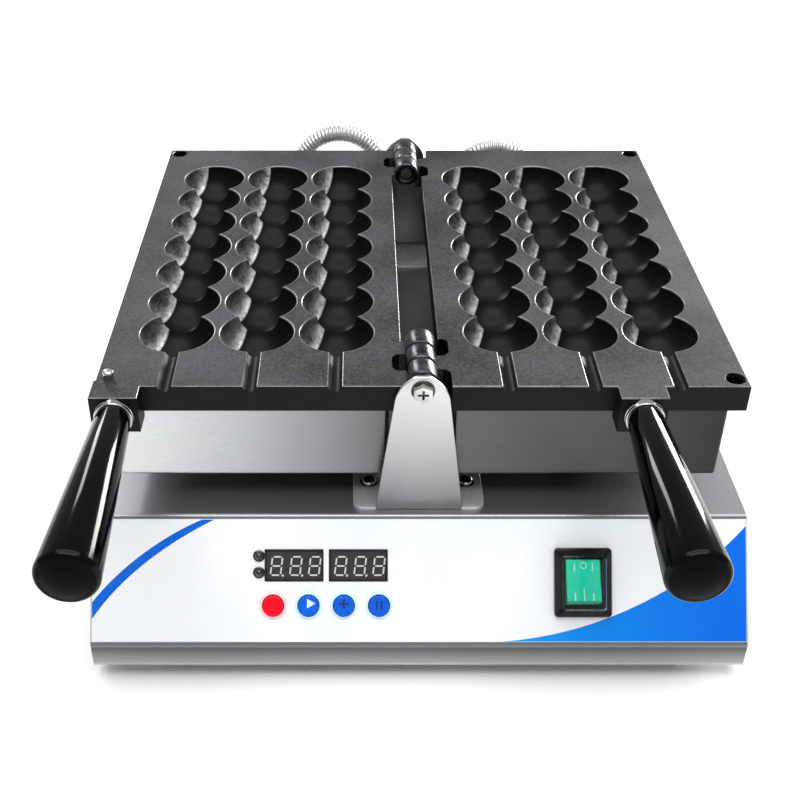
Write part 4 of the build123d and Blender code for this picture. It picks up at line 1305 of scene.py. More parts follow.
@dataclass(frozen=True)
class Handle:
    """A tapered phenolic grip on its ferrule."""

    word: str
    x: float
    start: float = -110.0
    z: float = 135.5
    length: float = 106.0
    near_radius: float = 8.25
    far_radius: float = 13.25
    dome: float = 2.5
    edge: float = 3.0
    end_facing: float = 0.88
    ferrule: float = 4.0

    def build(self) -> list[bpy.types.Object]:
        """Make the grip and its ferrule.

        Returns:
            The two pieces.
        """
        far, flat = self.far_radius, self.far_radius - self.edge
        shoulder = self.length - self.dome - self.edge
        rise = (flat**2 + self.dome**2) / (2 * self.dome)
        half = math.degrees(math.asin(flat / rise))
        profile = [
            (0, 0), (self.near_radius - 1.2, 0),
            *arc((self.near_radius - 0.9, 0.9), 0.9, -90, 0, 3),
            *arc((flat, shoulder), self.edge, 0, 90, 6),
            *arc((0, self.length - rise), rise, 90 - half, 90, 8)[1:],
        ]
        grip = turned(profile, spot(self.x, self.start, self.z, (0, -1, 0)), 96)
        for face in grip.faces:
            if face.normal.y < -self.end_facing:
                face.material_index = 1
        body = f"{self.word}_plate"
        outer, band = self.near_radius + 0.6, self.ferrule
        rings = [
            (3.1, 0), *arc((outer - 0.5, 0.5), 0.5, -90, 0, 3), (outer, 1.6), (outer - 0.5, 2.0),
            (outer, 2.4), *arc((outer - 0.5, band - 0.5), 0.5, 0, 90, 3), (3.1, band),
        ]
        collar = turned(rings, spot(self.x, self.start + band, self.z, (0, -1, 0)), 64, ring=True)
        return [
            fit_out(f"{self.word}_grip", grip, [PHENOLIC, PHENOLIC_END], body,
                    [f"{self.word}_handle"]),
            fit_out(f"{self.word}_grip_ferrule", collar, [NICKEL], body,
                    [f"{self.word}_ferrule"]),
        ]


@dataclass(frozen=True)
class HingeStand:
    """The brackets that carry the hinge, with their screws and pivot pins."""

    front: float = -98.5
    rear: float = 176.0
    sheet: float = 2.0
    deck: float = 74.0
    hinge_z: float = 145.0
    over: float = 7.0
    pin_width: float = 23.8
    deck_width: float = 42.7
    nose: float = 7.0
    foot_width: float = 64.0
    foot_depth: float = 34.0
    screw_x: float = 24.0
    screw_y: float = 20.0
    pin_radius: float = 4.0
    pin_length: float = 40.5

    def bracket(self, name: str, face: float, inward: int) -> bpy.types.Object:
        """Make one bracket.

        Args:
            name: The piece's and the node's first word.
            face: The upright's outer face along Y.
            inward: 1 where the foot goes to the rear, -1 where it goes to the front.

        Returns:
            The bracket.
        """
        top = self.hinge_z + self.over
        half, foot = self.pin_width / 2, self.deck_width / 2
        outline = [(-foot, self.deck), (foot, self.deck), (half, self.hinge_z),
                   (self.nose / 2, top), (-self.nose / 2, top), (-half, self.hinge_z)]
        place = Matrix.Translation(Vector((0, max(face, face + inward * self.sheet), 0)) * MM)
        upright = prism(outline, self.sheet, place @ QUARTER_TURN_X)
        across = [e for e in upright.edges if abs(e.verts[0].co.y - e.verts[1].co.y) > 0.5 * MM]
        shoulders = [e for e in across if abs(e.verts[0].co.z - self.hinge_z * MM) < 1e-5]
        soften(upright, shoulders, 5.5, 8)
        across = [e for e in upright.edges if abs(e.verts[0].co.y - e.verts[1].co.y) > 0.5 * MM]
        tips = [e for e in across if e.verts[0].co.z > (top - 0.01) * MM]
        soften(upright, tips, 1.6, 5)
        flat = [e for e in upright.edges if abs(e.verts[0].co.y - e.verts[1].co.y) < 1e-6
                and e.calc_face_angle(0.0) > 1.2]
        soften(upright, flat, 0.3, 2)
        depth = self.foot_depth
        middle = face + inward * depth / 2
        size = (self.foot_width, depth, self.sheet)
        plate = dyed(block(size, spot(0, middle, self.deck), corner=5.0, rim=0.4), 1)
        corner = block((2 * foot - 3, 2.6, 2.6), spot(0, face + inward * 1.9, self.deck + 0.6))
        # The upright's finish carries a painted reflection, palest at the hinge.
        return fit_out(
            f"{name}_bracket", joined([upright, plate, corner]), [BRUSHED_UPRIGHT_PAINTED_REFLECTION, FOOT_SHEET],
            "base", [f"{name}_hinge_bracket"],
        )

    def build(self) -> list[bpy.types.Object]:
        """Make the brackets, pins and screws.

        Returns:
            The pieces.
        """
        outer_front, outer_rear = self.front - self.sheet, self.rear + self.sheet
        made = [self.bracket("front", outer_front, 1), self.bracket("rear", outer_rear, -1)]
        length, radius = self.pin_length, self.pin_radius
        profile = [(0, 0), (radius - 0.6, 0), (radius, 0.6), (radius, length), (0, length)]
        for name, face, way in (("front", outer_front, -1), ("rear", outer_rear, 1)):
            head = PIVOT_SCREW.placed([spot(0, face, self.hinge_z, (0, way, 0))])
            seat = spot(0, face - way * (length + 0.1), self.hinge_z, (0, way, 0))
            pin = joined([head, turned(profile, seat, 40)])
            made.append(bright_piece(f"{name}_pivot_pin", pin, "base", f"{name}_hinge_pin"))
        places = [
            spot(x, y, self.deck + self.sheet)
            for x in (-self.screw_x, self.screw_x)
            for y in (outer_front + self.screw_y, outer_rear - self.screw_y)
        ]
        heads = CrossScrew(washer=4.6).placed(places)
        return [*made, bright_piece("bracket_screw_heads", heads, "base", "bracket_screws")]


@dataclass(frozen=True)
class PlateScrews:
    """The small screws in the casings' walls."""

    word: str
    side: int
    inner: float = 15.0
    outer: float = 144.0
    middle: float = 38.75
    pitch: float = 54.0
    z: float = 126.0

    def build(self) -> bpy.types.Object:
        """Make the screw heads.

        Returns:
            One piece with all the heads.
        """
        places = [
            spot(self.side * x, self.middle + k * self.pitch, self.z, (self.side * way, 0, 0))
            for x, way in ((self.inner, -1), (self.outer, 1))
            for k in (-1, 0, 1)
        ]
        return bright_piece(f"{self.word}_casing_screw_heads", CrossScrew().placed(places),
                            f"{self.word}_plate", f"{self.word}_plate_screws")


ACROSS_HOSE = Vector((0.0, 1.0, 0.0))


@dataclass(frozen=True)
class Hose:
    """A ribbed metal hose that arches from a casing's elbow to its connector on the deck.

    The bend holds two places along the route; nothing in this script reads it.
    """

    word: str
    route: tuple[Place, ...]
    length: float
    bend: tuple[Place, Place]
    radius: float = 5.5
    valley: float = 4.7
    rib: float = 2.3
    rib_heights: tuple[float, ...] = (0.0, 0.45, 0.9, 1.0, 0.9, 0.45)
    around: int = 28

    def centre_line(self) -> list[Vector]:
        """Read the smooth line through the route.

        Returns:
            Points along the hose, in metres.
        """
        curve = bpy.data.curves.new("route", "CURVE")
        curve.dimensions = "3D"
        curve.resolution_u = 24
        spline = curve.splines.new("NURBS")
        spline.points.add(len(self.route) - 1)
        for dot, place in zip(spline.points, self.route):
            dot.co = (*(Vector(place) * MM), 1.0)
        spline.order_u = 3
        spline.use_endpoint_u = True
        holder = bpy.data.objects.new("route", curve)
        mesh = bpy.data.meshes.new_from_object(holder)
        line = [v.co.copy() for v in mesh.vertices]
        bpy.data.objects.remove(holder)
        bpy.data.curves.remove(curve)
        bpy.data.meshes.remove(mesh)
        return line

    def stations(self, line: Sequence[Vector], steps: int) -> list[tuple[Vector, Vector]]:
        """Divide the line into even steps.

        Args:
            line: Points along the hose.
            steps: How many steps.

        Returns:
            The place and the direction at each step, in metres.
        """
        runs = [0.0]
        for a, b in zip(line, line[1:]):
            runs.append(runs[-1] + (b - a).length)
        found, k = [], 0
        for i in range(steps + 1):
            s = runs[-1] * i / steps
            while k < len(line) - 2 and runs[k + 1] < s:
                k += 1
            share = (s - runs[k]) / (runs[k + 1] - runs[k])
            found.append((line[k].lerp(line[k + 1], share), (line[k + 1] - line[k]).normalized()))
        return found

    def build(self) -> bpy.types.Object:
        """Sweep the ribbed tube along the line.

        Returns:
            The hose.
        """
        line = self.centre_line()
        steps = round(self.length / self.rib) * len(self.rib_heights)
        tube = bmesh.new()
        loop, before = [], Matrix()
        for i, (place, way) in enumerate(self.stations(line, steps)):
            high = self.rib_heights[i % len(self.rib_heights)]
            radius = (self.valley + (self.radius - self.valley) * high) * MM
            frame_there = Matrix((ACROSS_HOSE, way.cross(ACROSS_HOSE), way)).transposed().to_4x4()
            width = Matrix.Diagonal((radius, radius, 1.0, 1.0))
            seat = Matrix.Translation(place) @ frame_there @ width
            if loop:
                grown = bmesh.ops.extrude_edge_only(tube, edges=loop)["geom"]
                ring = [item for item in grown if isinstance(item, BMVert)]
                loop = [item for item in grown if isinstance(item, BMEdge)]
            else:
                ring = bmesh.ops.create_circle(tube, segments=self.around, radius=1.0)["verts"]
                loop = list(tube.edges)
            bmesh.ops.transform(tube, matrix=seat @ before.inverted(), verts=ring)
            before = seat
        bmesh.ops.recalc_face_normals(tube, faces=tube.faces)
        bmesh.ops.holes_fill(tube, edges=[e for e in tube.edges if e.is_boundary], sides=0)
        bmesh.ops.recalc_face_normals(tube, faces=tube.faces)
        name = f"{self.word}_ribbed_hose"
        made = loose_object(name, tube, bpy.context.scene.collection)
        made.data.materials.append(material_of(HOSE_STEEL))
        made.data.shade_smooth()
        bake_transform(made)
        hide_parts(f"{self.word}_hose")
        log.info("%s: %d faces", name, len(made.data.polygons))
        return made


@dataclass(frozen=True)
class HoseFittings:
    """The connectors where the hoses meet the deck and the elbows on the casings."""

    glands: tuple[tuple[float, float], ...] = ((-14.0, 193.5), (35.0, 186.5))
    elbows: tuple[tuple[str, float, float, float], ...] = (
        ("left", -70.0, 193.5, 109.0),
        ("right", 85.0, 186.5, 105.4),
    )
    deck: float = 74.0
    height: float = 15.0

    def nut(self, radius: float, height: float, place: Matrix) -> BMesh:
        """Make a hexagonal nut with chamfered ends.

        Args:
            radius: Half its width across corners.
            height: Its height.
            place: Where it stands.

        Returns:
            The nut.
        """
        solid = polygon(6, radius, height)
        soften(solid, level_edges(solid, height * MM) + level_edges(solid, 0.0), 0.5, 2)
        bmesh.ops.transform(solid, matrix=place, verts=solid.verts)
        return solid

    def build(self) -> list[bpy.types.Object]:
        """Make the deck connectors and the elbows' union nuts.

        Returns:
            The pieces.
        """
        parts = []
        flange = [(0, 0), *arc((7.4, 0.6), 0.6, -90, 0, 3), (8.0, 1.6), (7.2, 2.4), (0, 2.4)]
        sleeve = [(0, 0), (7.0, 0), (7.0, 1.0), (7.4, 1.5), (7.4, 4.6),
                  *arc((6.4, 5.6), 1.0, 0, 90, 4), (0, 6.6)]
        for x, y in self.glands:
            parts.append(turned(flange, spot(x, y, self.deck), 40))
            parts.append(self.nut(7.9, 6.0, spot(x, y, self.deck + 2.4)))
            parts.append(turned(sleeve, spot(x, y, self.deck + self.height - 6.6), 40))
        made = [
            fit_out("deck_connectors", joined(parts), [ZINC], "base",
                    ["deck_glands"])
        ]
        for word, x, y, z in self.elbows:
            collar = self.nut(8.0, 5.0, spot(x, y, z - 5.6))
            band = [(0, 0), *arc((7.2, 0.4), 0.4, -90, 0, 2), (7.6, 1.0), (7.0, 1.4), (0, 1.4)]
            pair = joined([collar, turned(band, spot(x, y, z - 1.5), 40)])
            name = f"{word}_union_nut"
            made.append(fit_out(name, pair, [ZINC], f"{word}_plate"))
        return made


class Mark(Enum):
    """The plain marks on the keys."""

    BARE = "bare"
    TRIANGLE = "triangle"
    PLUS = "plus"
    BARS = "bars"


@dataclass(frozen=True)
class Keys:
    """The four round keys, their printed halos and marks."""

    xs: tuple[float, ...] = (-70.6, -53.5, -36.4, -19.4)
    names: tuple[str, ...] = ("red_button", "start_button", "add_button", "blue_button")
    marks: tuple[Mark, ...] = (Mark.BARE, Mark.TRIANGLE, Mark.PLUS, Mark.BARS)
    v: float = 19.6
    radius: float = 5.0
    top: float = 2.8
    ring_inner: float = 5.35
    ring_outer: float = 6.2
    ring_height: float = 0.9
    tints: tuple[int, ...] = (0, 1, 1, 1)
    halo_width: float = 0.7
    halo_film: float = 0.03
    triangle: float = 2.7
    film: float = 0.05

    def mark(self, kind: Mark, x: float) -> tuple[BMesh | None, Finish]:
        """Make a key's mark.

        Args:
            kind: The mark.
            x: The key's place across.

        Returns:
            The mark's film, or nothing for a bare key, and its finish.
        """
        film = self.film
        if kind is Mark.TRIANGLE:
            place = PANEL.at(x + 0.7, self.v + 1.2, self.top) @ QUARTER_TURN_Z
            return polygon(3, self.triangle, film, place), KEY_MARK
        if kind is Mark.PLUS:
            place = PANEL.at(x, self.v + 0.9, self.top)
            bars = [block((4.6, 1.1, film), place), block((1.1, 4.6, film * 1.2), place)]
            return joined(bars), KEY_MARK_DARK
        if kind is Mark.BARS:
            places = [PANEL.at(x + k * 1.1, self.v + 0.3, self.top) for k in (-1, 1)]
            return joined([block((1.0, 4.2, film), place) for place in places]), KEY_MARK_DARK
        return None, KEY_MARK

    def build(self) -> list[bpy.types.Object]:
        """Make the rings, caps and marks.

        Returns:
            The pieces.
        """
        made, rings, halos = [], [], []
        low, high, tall = self.ring_inner, self.ring_outer, self.ring_height
        ring = [(low, 0), (high, 0), *arc((high - 0.35, tall - 0.35), 0.35, 0, 90, 3),
                *arc((low + 0.25, tall - 0.25), 0.25, 90, 180, 3)]
        edge, film = high + self.halo_width, self.halo_film
        halo = [(high, 0), (edge, 0), (edge, film), (high, film)]
        for x, tint in zip(self.xs, self.tints):
            place = PANEL.at(x, self.v)
            rings.append(dyed(turned(ring, place, 56, ring=True), tint))
            halos.append(dyed(turned(halo, place, 56, ring=True), tint))
        made.append(fit_out("key_rings", joined(rings + halos), [RED_HALO_INK, BLUE_HALO_INK],
                            "base", ["button_bezels"]))
        for x, name, kind in zip(self.xs, self.names, self.marks):
            tall = self.top
            profile = [(0, -1.4), (self.radius, -1.4),
                       *arc((self.radius - 0.6, tall - 0.6), 0.6, 0, 90, 4),
                       (3.4, tall), (0, tall - 0.02)]
            cap = turned(profile, PANEL.at(x, self.v, 0.0), 56)
            finish = RED_KEY if name == "red_button" else BLUE_KEY
            made.append(fit_out(f"{name}_cap", cap, [finish], name, [name]))
            film, ink = self.mark(kind, x)
            if film:
                made.append(fit_out(f"{name}_mark", film, [ink], name))
        return made


@dataclass(frozen=True)
class Displays:
    """Two three-digit displays and the two lamps beside them."""

    xs: tuple[float, ...] = (-60.5, -29.4)
    v: float = 38.9
    width: float = 28.4
    height: float = 15.4
    frame: float = 1.0
    proud: float = 0.35
    sunk: float = 0.5
    digit_xs: tuple[float, ...] = (-8.5, 0.9, 10.0)
    digit_height: float = 9.2
    digit_width: float = 4.9
    stroke: float = 0.75
    slant: float = 7.0
    film: float = 0.08
    lamp_x: float = -77.4
    lamp_vs: tuple[float, ...] = (43.5, 35.5)
    lamp_radius: float = 2.5

    def case(self, x: float) -> BMesh:
        """Make a display's frame with its sunken filter.

        Args:
            x: The display's middle across.

        Returns:
            The frame, whose filter has material number 1.
        """
        tall = PANEL.face + self.proud
        solid = block((self.width, self.height, tall), Matrix(), corner=0.4, steps=2)
        top = max(solid.faces, key=lambda f: f.calc_center_median().z)
        bmesh.ops.inset_region(solid, faces=[top], thickness=self.frame * MM)
        bmesh.ops.inset_region(solid, faces=[top], thickness=0.15 * MM, depth=-self.sunk * MM)
        top.material_index = 1
        bmesh.ops.transform(solid, matrix=PANEL.at(x, self.v, 0.0), verts=solid.verts)
        return solid

    def digit(self, x: float, dot: bool) -> BMesh:
        """Make the seven segments of one unlit digit.

        Args:
            x: The digit's middle across.
            dot: Whether its decimal point shows.

        Returns:
            The segments.
        """
        long, wide = self.digit_height / 2, self.digit_width
        level = (wide - self.stroke - 0.3, self.stroke)
        upright = (self.stroke, long - self.stroke - 0.3)
        bars = [(0, long, level), (0, 0, level), (0, -long, level)]
        bars += [(sx * wide / 2, sy * long / 2, upright) for sx in (-1, 1) for sy in (-1, 1)]
        parts = []
        for across, up, (w, h) in bars:
            place = spot(across, up * 0.96, 0)
            parts.append(block((w, h, self.film), place, corner=self.stroke * 0.42, steps=1))
        if dot:
            profile = [(0, 0), (0.55, 0), (0.55, self.film), (0, self.film)]
            parts.append(turned(profile, spot(wide / 2 + 1.1, -long, 0), 12))
        solid = joined(parts)
        lean = Matrix.Identity(4)
        lean[0][1] = math.tan(math.radians(self.slant))
        floor = PANEL.face + self.proud - self.sunk
        bmesh.ops.transform(solid, matrix=PANEL.at(x, self.v - 0.3, floor) @ lean,
                            verts=solid.verts)
        return solid

    def build(self) -> list[bpy.types.Object]:
        """Make the displays and lamps.

        Returns:
            The pieces.
        """
        cases = joined([self.case(x) for x in self.xs])
        digits = [self.digit(x + dx, i < 2) for x in self.xs for i, dx in enumerate(self.digit_xs)]
        made = [
            fit_out("display_frames", cases, [BLACK_MOULDING, DISPLAY_FILTER], "base",
                    ["display_modules"]),
            fit_out("display_segments", joined(digits), [SEGMENT], "base"),
        ]
        radius = self.lamp_radius
        profile = [
            (0, -3), (radius, -3), (radius, 0.7), (radius + 0.35, 0.8), (radius + 0.35, 1.3),
            (radius - 0.1, 1.45), *arc((0, 1.2), radius - 0.35, 8, 90, 6),
        ]
        lamps = joined([turned(profile, PANEL.at(self.lamp_x, v, 0.0), 40) for v in self.lamp_vs])
        made.append(fit_out("panel_lamps", lamps, [LAMP], "base", ["status_leds"]))
        return made


@dataclass(frozen=True)
class PowerSwitch:
    """The framed rocker switch under its clear splash cover."""

    x: float = 79.0
    v: float = 30.8
    frame_width: float = 27.8
    frame_height: float = 33.4
    proud: float = 2.4
    opening_width: float = 17.2
    flange: float = 1.9
    body_depth: float = 20.0
    well_depth: float = 18.6
    rocker_width: float = 16.5
    rocker_radius: float = 11.0
    pivot_out: float = 0.2
    crown: float = 4.8
    valley: float = 3.7
    depth: float = 8.0
    tilt: float = -12.0
    cover_width: float = 21.7
    cover_height: float = 26.3
    cover_rise: float = 6.4
    wall: float = 0.8
    film: float = 0.06

    def housing(self) -> bpy.types.Object:
        """Make the frame with its stepped opening.

        Returns:
            The frame.
        """
        solid = block((self.frame_width, self.frame_height, self.proud), Matrix(), corner=2.0,
                      rim=0.8)
        top = max(solid.faces, key=lambda f: (round(f.calc_center_median().z, 6), f.calc_area()))
        step = (self.frame_width - 1.6 - self.opening_width - 2.0) / 2
        bmesh.ops.inset_region(solid, faces=[top], thickness=step * MM)
        bmesh.ops.inset_region(solid, faces=[top], thickness=0.2 * MM, depth=-0.5 * MM)
        bmesh.ops.inset_region(solid, faces=[top], thickness=0.8 * MM)
        down = self.proud - 0.5 + self.well_depth
        bmesh.ops.inset_region(solid, faces=[top], thickness=0.02 * MM, depth=-down * MM)
        under = min(
            solid.faces, key=lambda f: f.calc_center_median().z if f.normal.z < -0.9 else 1.0
        )
        bmesh.ops.inset_region(solid, faces=[under], thickness=self.flange * MM)
        bmesh.ops.inset_region(solid, faces=[under], thickness=0.02 * MM,
                               depth=self.body_depth * MM)
        bmesh.ops.transform(solid, matrix=PANEL.at(self.x, self.v), verts=solid.verts)
        return fit_out("switch_housing", solid, [BLACK_MOULDING], "base",
                       ["switch_body"])

    def rocker(self) -> list[bpy.types.Object]:
        """Make the rocker and its marks.

        Returns:
            The rocker and the marks.
        """
        half = math.sqrt(self.rocker_radius**2 - self.crown**2)
        low = math.sqrt(self.rocker_radius**2 - self.depth**2)
        begin = math.degrees(math.atan2(self.crown, half))
        stop = -math.degrees(math.atan2(self.depth, low))
        right = arc((0, 0), self.rocker_radius, begin, stop, 8)
        left = [(-y, z) for y, z in reversed(right[1:])]
        outline = [(-half, self.crown), (0.0, self.valley), *right, *left]
        place = PANEL.at(self.x, self.v, self.pivot_out, self.tilt)
        axes = Matrix(((0, 0, 1, 0), (1, 0, 0, 0), (0, 1, 0, 0), (0, 0, 0, 1)))
        centred = Matrix.Translation(Vector((-self.rocker_width / 2 * MM, 0, 0)))
        solid = prism(outline, self.rocker_width, centred @ axes)
        soften(solid, [e for e in solid.edges if e.calc_face_angle(0.0) > 0.9], 0.5, 3)
        # The lower end and underside take the green with painted shade.
        for face in solid.faces:
            middle = face.calc_center_median() / MM
            if middle.y < -7.6 or middle.z < 1.0:
                face.material_index = 1
        bmesh.ops.transform(solid, matrix=place, verts=solid.verts)
        finishes = [ROCKER_GREEN, ROCKER_PAINTED_SHADE]
        made = [fit_out("rocker_key", solid, finishes, "rocker", ["power_rocker"])]
        lean = math.atan2(self.crown - self.valley, half)
        marks = []
        for side, up, middle in ((1, 6.6, 0.0), (-1, 7.5, 2.2)):
            rise = self.valley + up * math.tan(lean)
            seat = place @ Matrix.Translation(Vector((0, side * up, rise)) * MM)
            seat = seat @ Matrix.Rotation(side * lean, 4, "X")
            for x in (-4.4, 0.0, 4.4):
                if side > 0 and not x:
                    ring = [(1.15, 0), (1.65, 0), (1.65, self.film), (1.15, self.film)]
                    marks.append(turned(ring, seat @ spot(0, 0.8, 0), 28, ring=True))
                else:
                    reach = 0.0 if x else middle
                    bar = (0.6, 3.6 + reach, self.film)
                    marks.append(block(bar, seat @ spot(x, reach / 2, 0)))
        made.append(fit_out("rocker_marks", joined(marks), [ROCKER_MARK], "rocker"))
        return made

    def cover(self) -> bpy.types.Object:
        """Make the clear cover.

        Returns:
            The cover, a thin shell open below.
        """
        size = (self.cover_width, self.cover_height, self.cover_rise)
        shell = block(size, Matrix(), corner=2.2, rim=1.2)
        base = min(shell.faces, key=lambda f: f.calc_center_median().z)
        bmesh.ops.delete(shell, geom=[base], context="FACES_ONLY")
        bmesh.ops.recalc_face_normals(shell, faces=shell.faces)
        bmesh.ops.solidify(shell, geom=list(shell.faces), thickness=self.wall * MM)
        bmesh.ops.recalc_face_normals(shell, faces=shell.faces)
        place = PANEL.at(self.x, self.v, PANEL.face + self.proud)
        bmesh.ops.transform(shell, matrix=place, verts=shell.verts)
        return fit_out("splash_cover", shell, [CLEAR_PVC], "base", ["switch_cover"])

    def build(self) -> list[bpy.types.Object]:
        """Make the whole switch.

        Returns:
            The pieces.
        """
        return [self.housing(), *self.rocker(), self.cover()]


@dataclass(frozen=True)
class PanelPrint:
    """The plain curved bands printed on the overlay."""

    half_width: float = 158.2
    low: float = 2.2
    high: float = 61.0

    def build(self) -> list[bpy.types.Object]:
        """Make the arc on the left and the corner on the right.

        Returns:
            The two films.
        """
        left, right = -self.half_width, self.half_width
        low, high = self.low, self.high
        band = flat_shape(
            [
                ((left, 18.0), (left, 21.0), (left + 14.0, 39.0)),
                ((left + 36.0, high - 7.0), (left + 53.0, high), (left + 53.5, high)),
                ((left + 58.0, high), (left + 59.0, high), (left + 38.0, high - 10.5)),
                ((left + 15.0, 35.0), (left, 13.0), (left, 15.0)),
            ],
            PANEL.at(0, 0),
        )
        corner = flat_shape(
            [
                ((46.0, low), (40.0, low), (88.0, 5.5)),
                ((right - 26.0, 29.0), (right, high - 3.0), (right, high - 10)),
                ((right, low + 10), (right, low), (right - 20, low)),
            ],
            PANEL.at(0, 0),
        )
        return [
            fit_out("printed_arc", band, [ARC_INK], "base"),
            fit_out("printed_corner", corner, [CORNER_INK], "base"),
        ]


@dataclass(frozen=True)
class Underside:
    """The rubber feet, the tray's screws and the bare cable inlet on the rear wall."""

    width: float = 318.0
    front: float = -141.0
    rear: float = 204.0
    inset: float = 28.0
    foot_height: float = 10.0
    foot_radius: float = 11.0
    taper: float = 1.5
    bore: float = 4.6
    bore_depth: float = 6.0
    screw_margin: float = 60.0
    screw_z: float = 17.7
    inlet_x: float = 100.0
    inlet_z: float = 42.0
    inlet_ribs: int = 16

    def build(self) -> list[bpy.types.Object]:
        """Make the feet, screws and inlet.

        Returns:
            The pieces.
        """
        places = [
            (x, y)
            for x in (-self.width / 2 + self.inset, self.width / 2 - self.inset)
            for y in (self.front + self.inset, self.rear - self.inset)
        ]
        low, tall = self.foot_radius - self.taper, self.foot_height
        profile = [
            (self.bore, 0.0), *arc((low - 0.8, 0.8), 0.8, -90, 0, 4),
            *arc((self.foot_radius - 0.5, tall - 0.5), 0.5, 0, 90, 3), (0, tall),
            (0, self.bore_depth), (self.bore, self.bore_depth),
        ]
        feet = joined([turned([*profile, profile[0]], spot(x, y, 0), 48) for x, y in places])
        made = [fit_out("rubber_feet", feet, [RUBBER], "base", ["feet"])]
        heads = CrossScrew().placed([spot(x, y, self.bore_depth, (0, 0, -1)) for x, y in places])
        made.append(bright_piece("foot_screw_heads", heads, "base", "foot_screws"))
        first, last = self.front + self.screw_margin, self.rear - self.screw_margin
        sides = [
            spot(side * self.width / 2, first + (last - first) * i / 2, self.screw_z, (side, 0, 0))
            for side in (LEFT, RIGHT)
            for i in range(3)
        ]
        heads = CrossScrew().placed(sides)
        made.append(bright_piece("side_screw_heads", heads, "base", "bottom_screws"))
        seat = spot(self.inlet_x, self.rear, self.inlet_z, (0, 1, 0))
        nut = HoseFittings().nut(9.0, 6.0, seat)
        neck = [(4.5, -2), (4.5, 11.4), (4.9, 12.0), (6.2, 12.0),
                *arc((6.2, 11.2), 0.8, 90, 0, 3), (7.4, 6.0), (7.4, -2)]
        ring = turned(neck, seat, 48, ring=True)
        ribs = []
        for i in range(self.inlet_ribs):
            turn = Matrix.Rotation(math.tau * i / self.inlet_ribs, 4, "Z")
            place = seat @ turn @ spot(7.2, 0, 6.2)
            ribs.append(block((0.9, 0.9, 4.6), place, corner=0.2, rim=0.2, steps=2))
        drill = turned([(0, -3), (4.5, -3), (4.5, 14), (0, 14)], seat, 48)
        nut = carve(nut, [drill])
        inlet = joined([nut, ring, *ribs])
        made.append(fit_out("cable_inlet", inlet, [BLACK_MOULDING], "base",
                            ["mains_gland"]))
        return made


@dataclass(frozen=True)
class SolidParts:
    """The solid model's own pieces that keep their shape, each with its finish."""

    finishes: tuple[tuple[Finish, tuple[str, ...]], ...] = (
        # The shell's finish carries painted shade and reflection by height.
        (SHELL_PAINTED_SHADE, ("base_shell",)),
        (BRUSHED_ALONG_X, ("bottom_plate", "left_heater_clamp", "right_heater_clamp",
                           "plate_rests")),
        # The casings' finishes carry painted reflection and shade.
        (CASING_LEFT_PAINTED_REFLECTION, ("left_heater_casing",)),
        (CASING_RIGHT_PAINTED_SHADE, ("right_heater_casing",)),
        (NICKEL, ("locating_pin", "pivot_washers", "left_handle_stud", "right_handle_stud",
                  "left_probe", "right_probe", "bracket_nuts", "earth_stud")),
        (ZINC, ("left_hose_elbow", "right_hose_elbow")),
        (OVERLAY, ("control_overlay",)),
        (SILICONE, ("rest_pads",)),
        (SHEATH, ("left_heater", "right_heater")),
        (FIBRE, ("left_insulation", "right_insulation")),
        (BOARD, ("control_board",)),
        (NYLON, ("board_standoffs", "terminal_block")),
        (BLACK_MOULDING, ("power_relays", "tact_switches")),
    )

    def build(self) -> None:
        """Give each carried-over piece its material."""
        for finish, names in self.finishes:
            for name in names:
                node = frame["nodes"][name]
                node.data.materials.clear()
                node.data.materials.append(material_of(finish))
                log.info("%s: %s", name, finish.name)


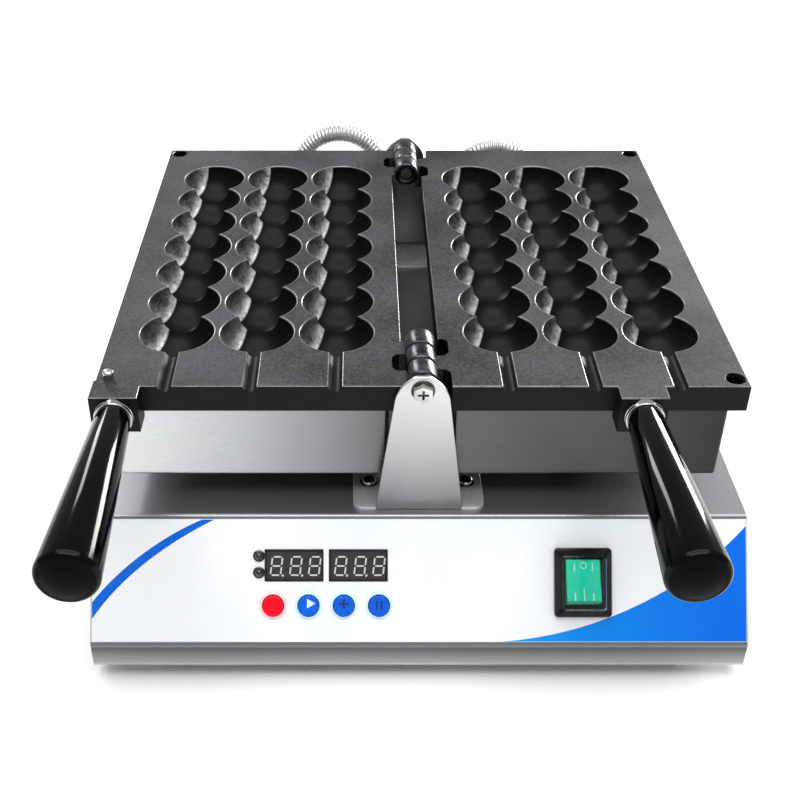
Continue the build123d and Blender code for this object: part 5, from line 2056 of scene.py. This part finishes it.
@dataclass(frozen=True)
class Studio:
    """The pale floor, the soft lights and the camera at the photograph's viewpoint."""

    eye: Place = (-28.6, -537.9, 445.0)
    pitch: float = 34.9
    lens: float = 52.74
    shift: float = 0.05
    floor_size: float = 9.0

    def camera(self) -> None:
        """Place the camera."""
        data = bpy.data.cameras.new("camera")
        data.lens = self.lens
        data.sensor_width = 36.0
        data.shift_x = self.shift
        data.clip_start = 0.01
        data.clip_end = 50.0
        camera = bpy.data.objects.new("camera", data)
        camera.location = Vector(self.eye) * MM
        camera.rotation_euler = (math.radians(90 - self.pitch), 0.0, 0.0)
        bpy.context.scene.collection.objects.link(camera)
        bpy.context.scene.camera = camera

    def lamp(self, name: str, place: Point, aim: Point, size: tuple[float, float],
             power: float) -> None:
        """Hang a soft rectangular light.

        Args:
            name: The light's name.
            place: Where it hangs, in metres.
            aim: The point that it faces, in metres.
            size: Its width and height in metres.
            power: Its power in watts.
        """
        data = bpy.data.lights.new(name, "AREA")
        data.shape = "RECTANGLE"
        data.size, data.size_y = size
        data.energy = power
        light = bpy.data.objects.new(name, data)
        light.location = place
        light.rotation_euler = (Vector(aim) - Vector(place)).to_track_quat("-Z", "Y").to_euler()
        bpy.context.scene.collection.objects.link(light)

    def build(self) -> None:
        """Make the floor, the world and the lights."""
        floor = bmesh.new()
        bmesh.ops.create_grid(floor, x_segments=1, y_segments=1, size=self.floor_size / 2)
        ground = loose_object("floor", floor, bpy.context.scene.collection)
        paper = Finish("paper_floor", 0.75, "#f6f6f6", "#f3f3f3", 0.03, grain=3.0, patch=400,
                       relief=0.0)
        ground.data.materials.append(material_of(paper))
        world = bpy.data.worlds.new("studio")
        world.use_nodes = True
        background = world.node_tree.nodes["Background"]
        background.inputs["Color"].default_value = linear("#f4f5f7")
        background.inputs["Strength"].default_value = 0.5
        bpy.context.scene.world = world
        bpy.context.scene.view_settings.view_transform = "Standard"
        self.lamp("overhead", (0.0, 0.1, 1.9), (0.0, 0.0, 0.0), (2.4, 2.0), 40.0)
        self.lamp("rear_right_low", (1.15, 1.54, 0.42), (0.0, 0.0, 0.13), (0.8, 0.5), 45.0)
        self.lamp("rear_left_strip", (-0.8, 1.55, 0.95), (0.0, 0.0, 0.13), (0.22, 0.8), 9.0)
        self.lamp("front_fill", (0.0, -0.95, 1.8), (0.0, -0.1, 0.05), (1.6, 0.5), 13.0)


def main() -> None:
    """Build the studio and every sub-assembly in order."""
    logging.basicConfig(level=logging.INFO, format="%(message)s")
    studio = Studio()
    studio.camera()
    left_hose = Hose(
        "left",
        ((-70.0, 193.5, 109.0), (-70.0, 193.5, 131.6), (-53.6, 193.5, 148.0), (-30.4, 193.5, 148.0),
         (-14.0, 193.5, 131.6), (-14.0, 193.5, 110.0), (-14.0, 193.5, 89.0)),
        130.0,
        ((-60.0, 193.5, 90.0), (-40.0, 193.5, 70.0)),
    )
    right_hose = Hose(
        "right",
        ((85.0, 186.5, 105.4), (85.0, 186.5, 126.8), (70.4, 186.5, 141.4), (49.6, 186.5, 141.4),
         (35.0, 186.5, 126.8), (35.0, 186.5, 108.0), (35.0, 186.5, 89.0)),
        116.9,
        ((70.0, 186.5, 110.0), (45.0, 186.5, 80.0)),
    )
    left_hose.build()
    right_hose.build()
    studio.build()
    plates = (
        BakingPlate("left", LEFT, 140.0, (0, 2), True),
        BakingPlate("right", RIGHT, 100.0, (1,), False),
    )
    for plate in plates:
        plate.build()
        plate.knuckles()
        Handle(plate.word, plate.side * plate.handle_x).build()
        PlateScrews(plate.word, plate.side).build()
    HingeStand().build()
    HoseFittings().build()
    Keys().build()
    Displays().build()
    PowerSwitch().build()
    PanelPrint().build()
    Underside().build()
    SolidParts().build()


if __name__ == "__main__":
    main()
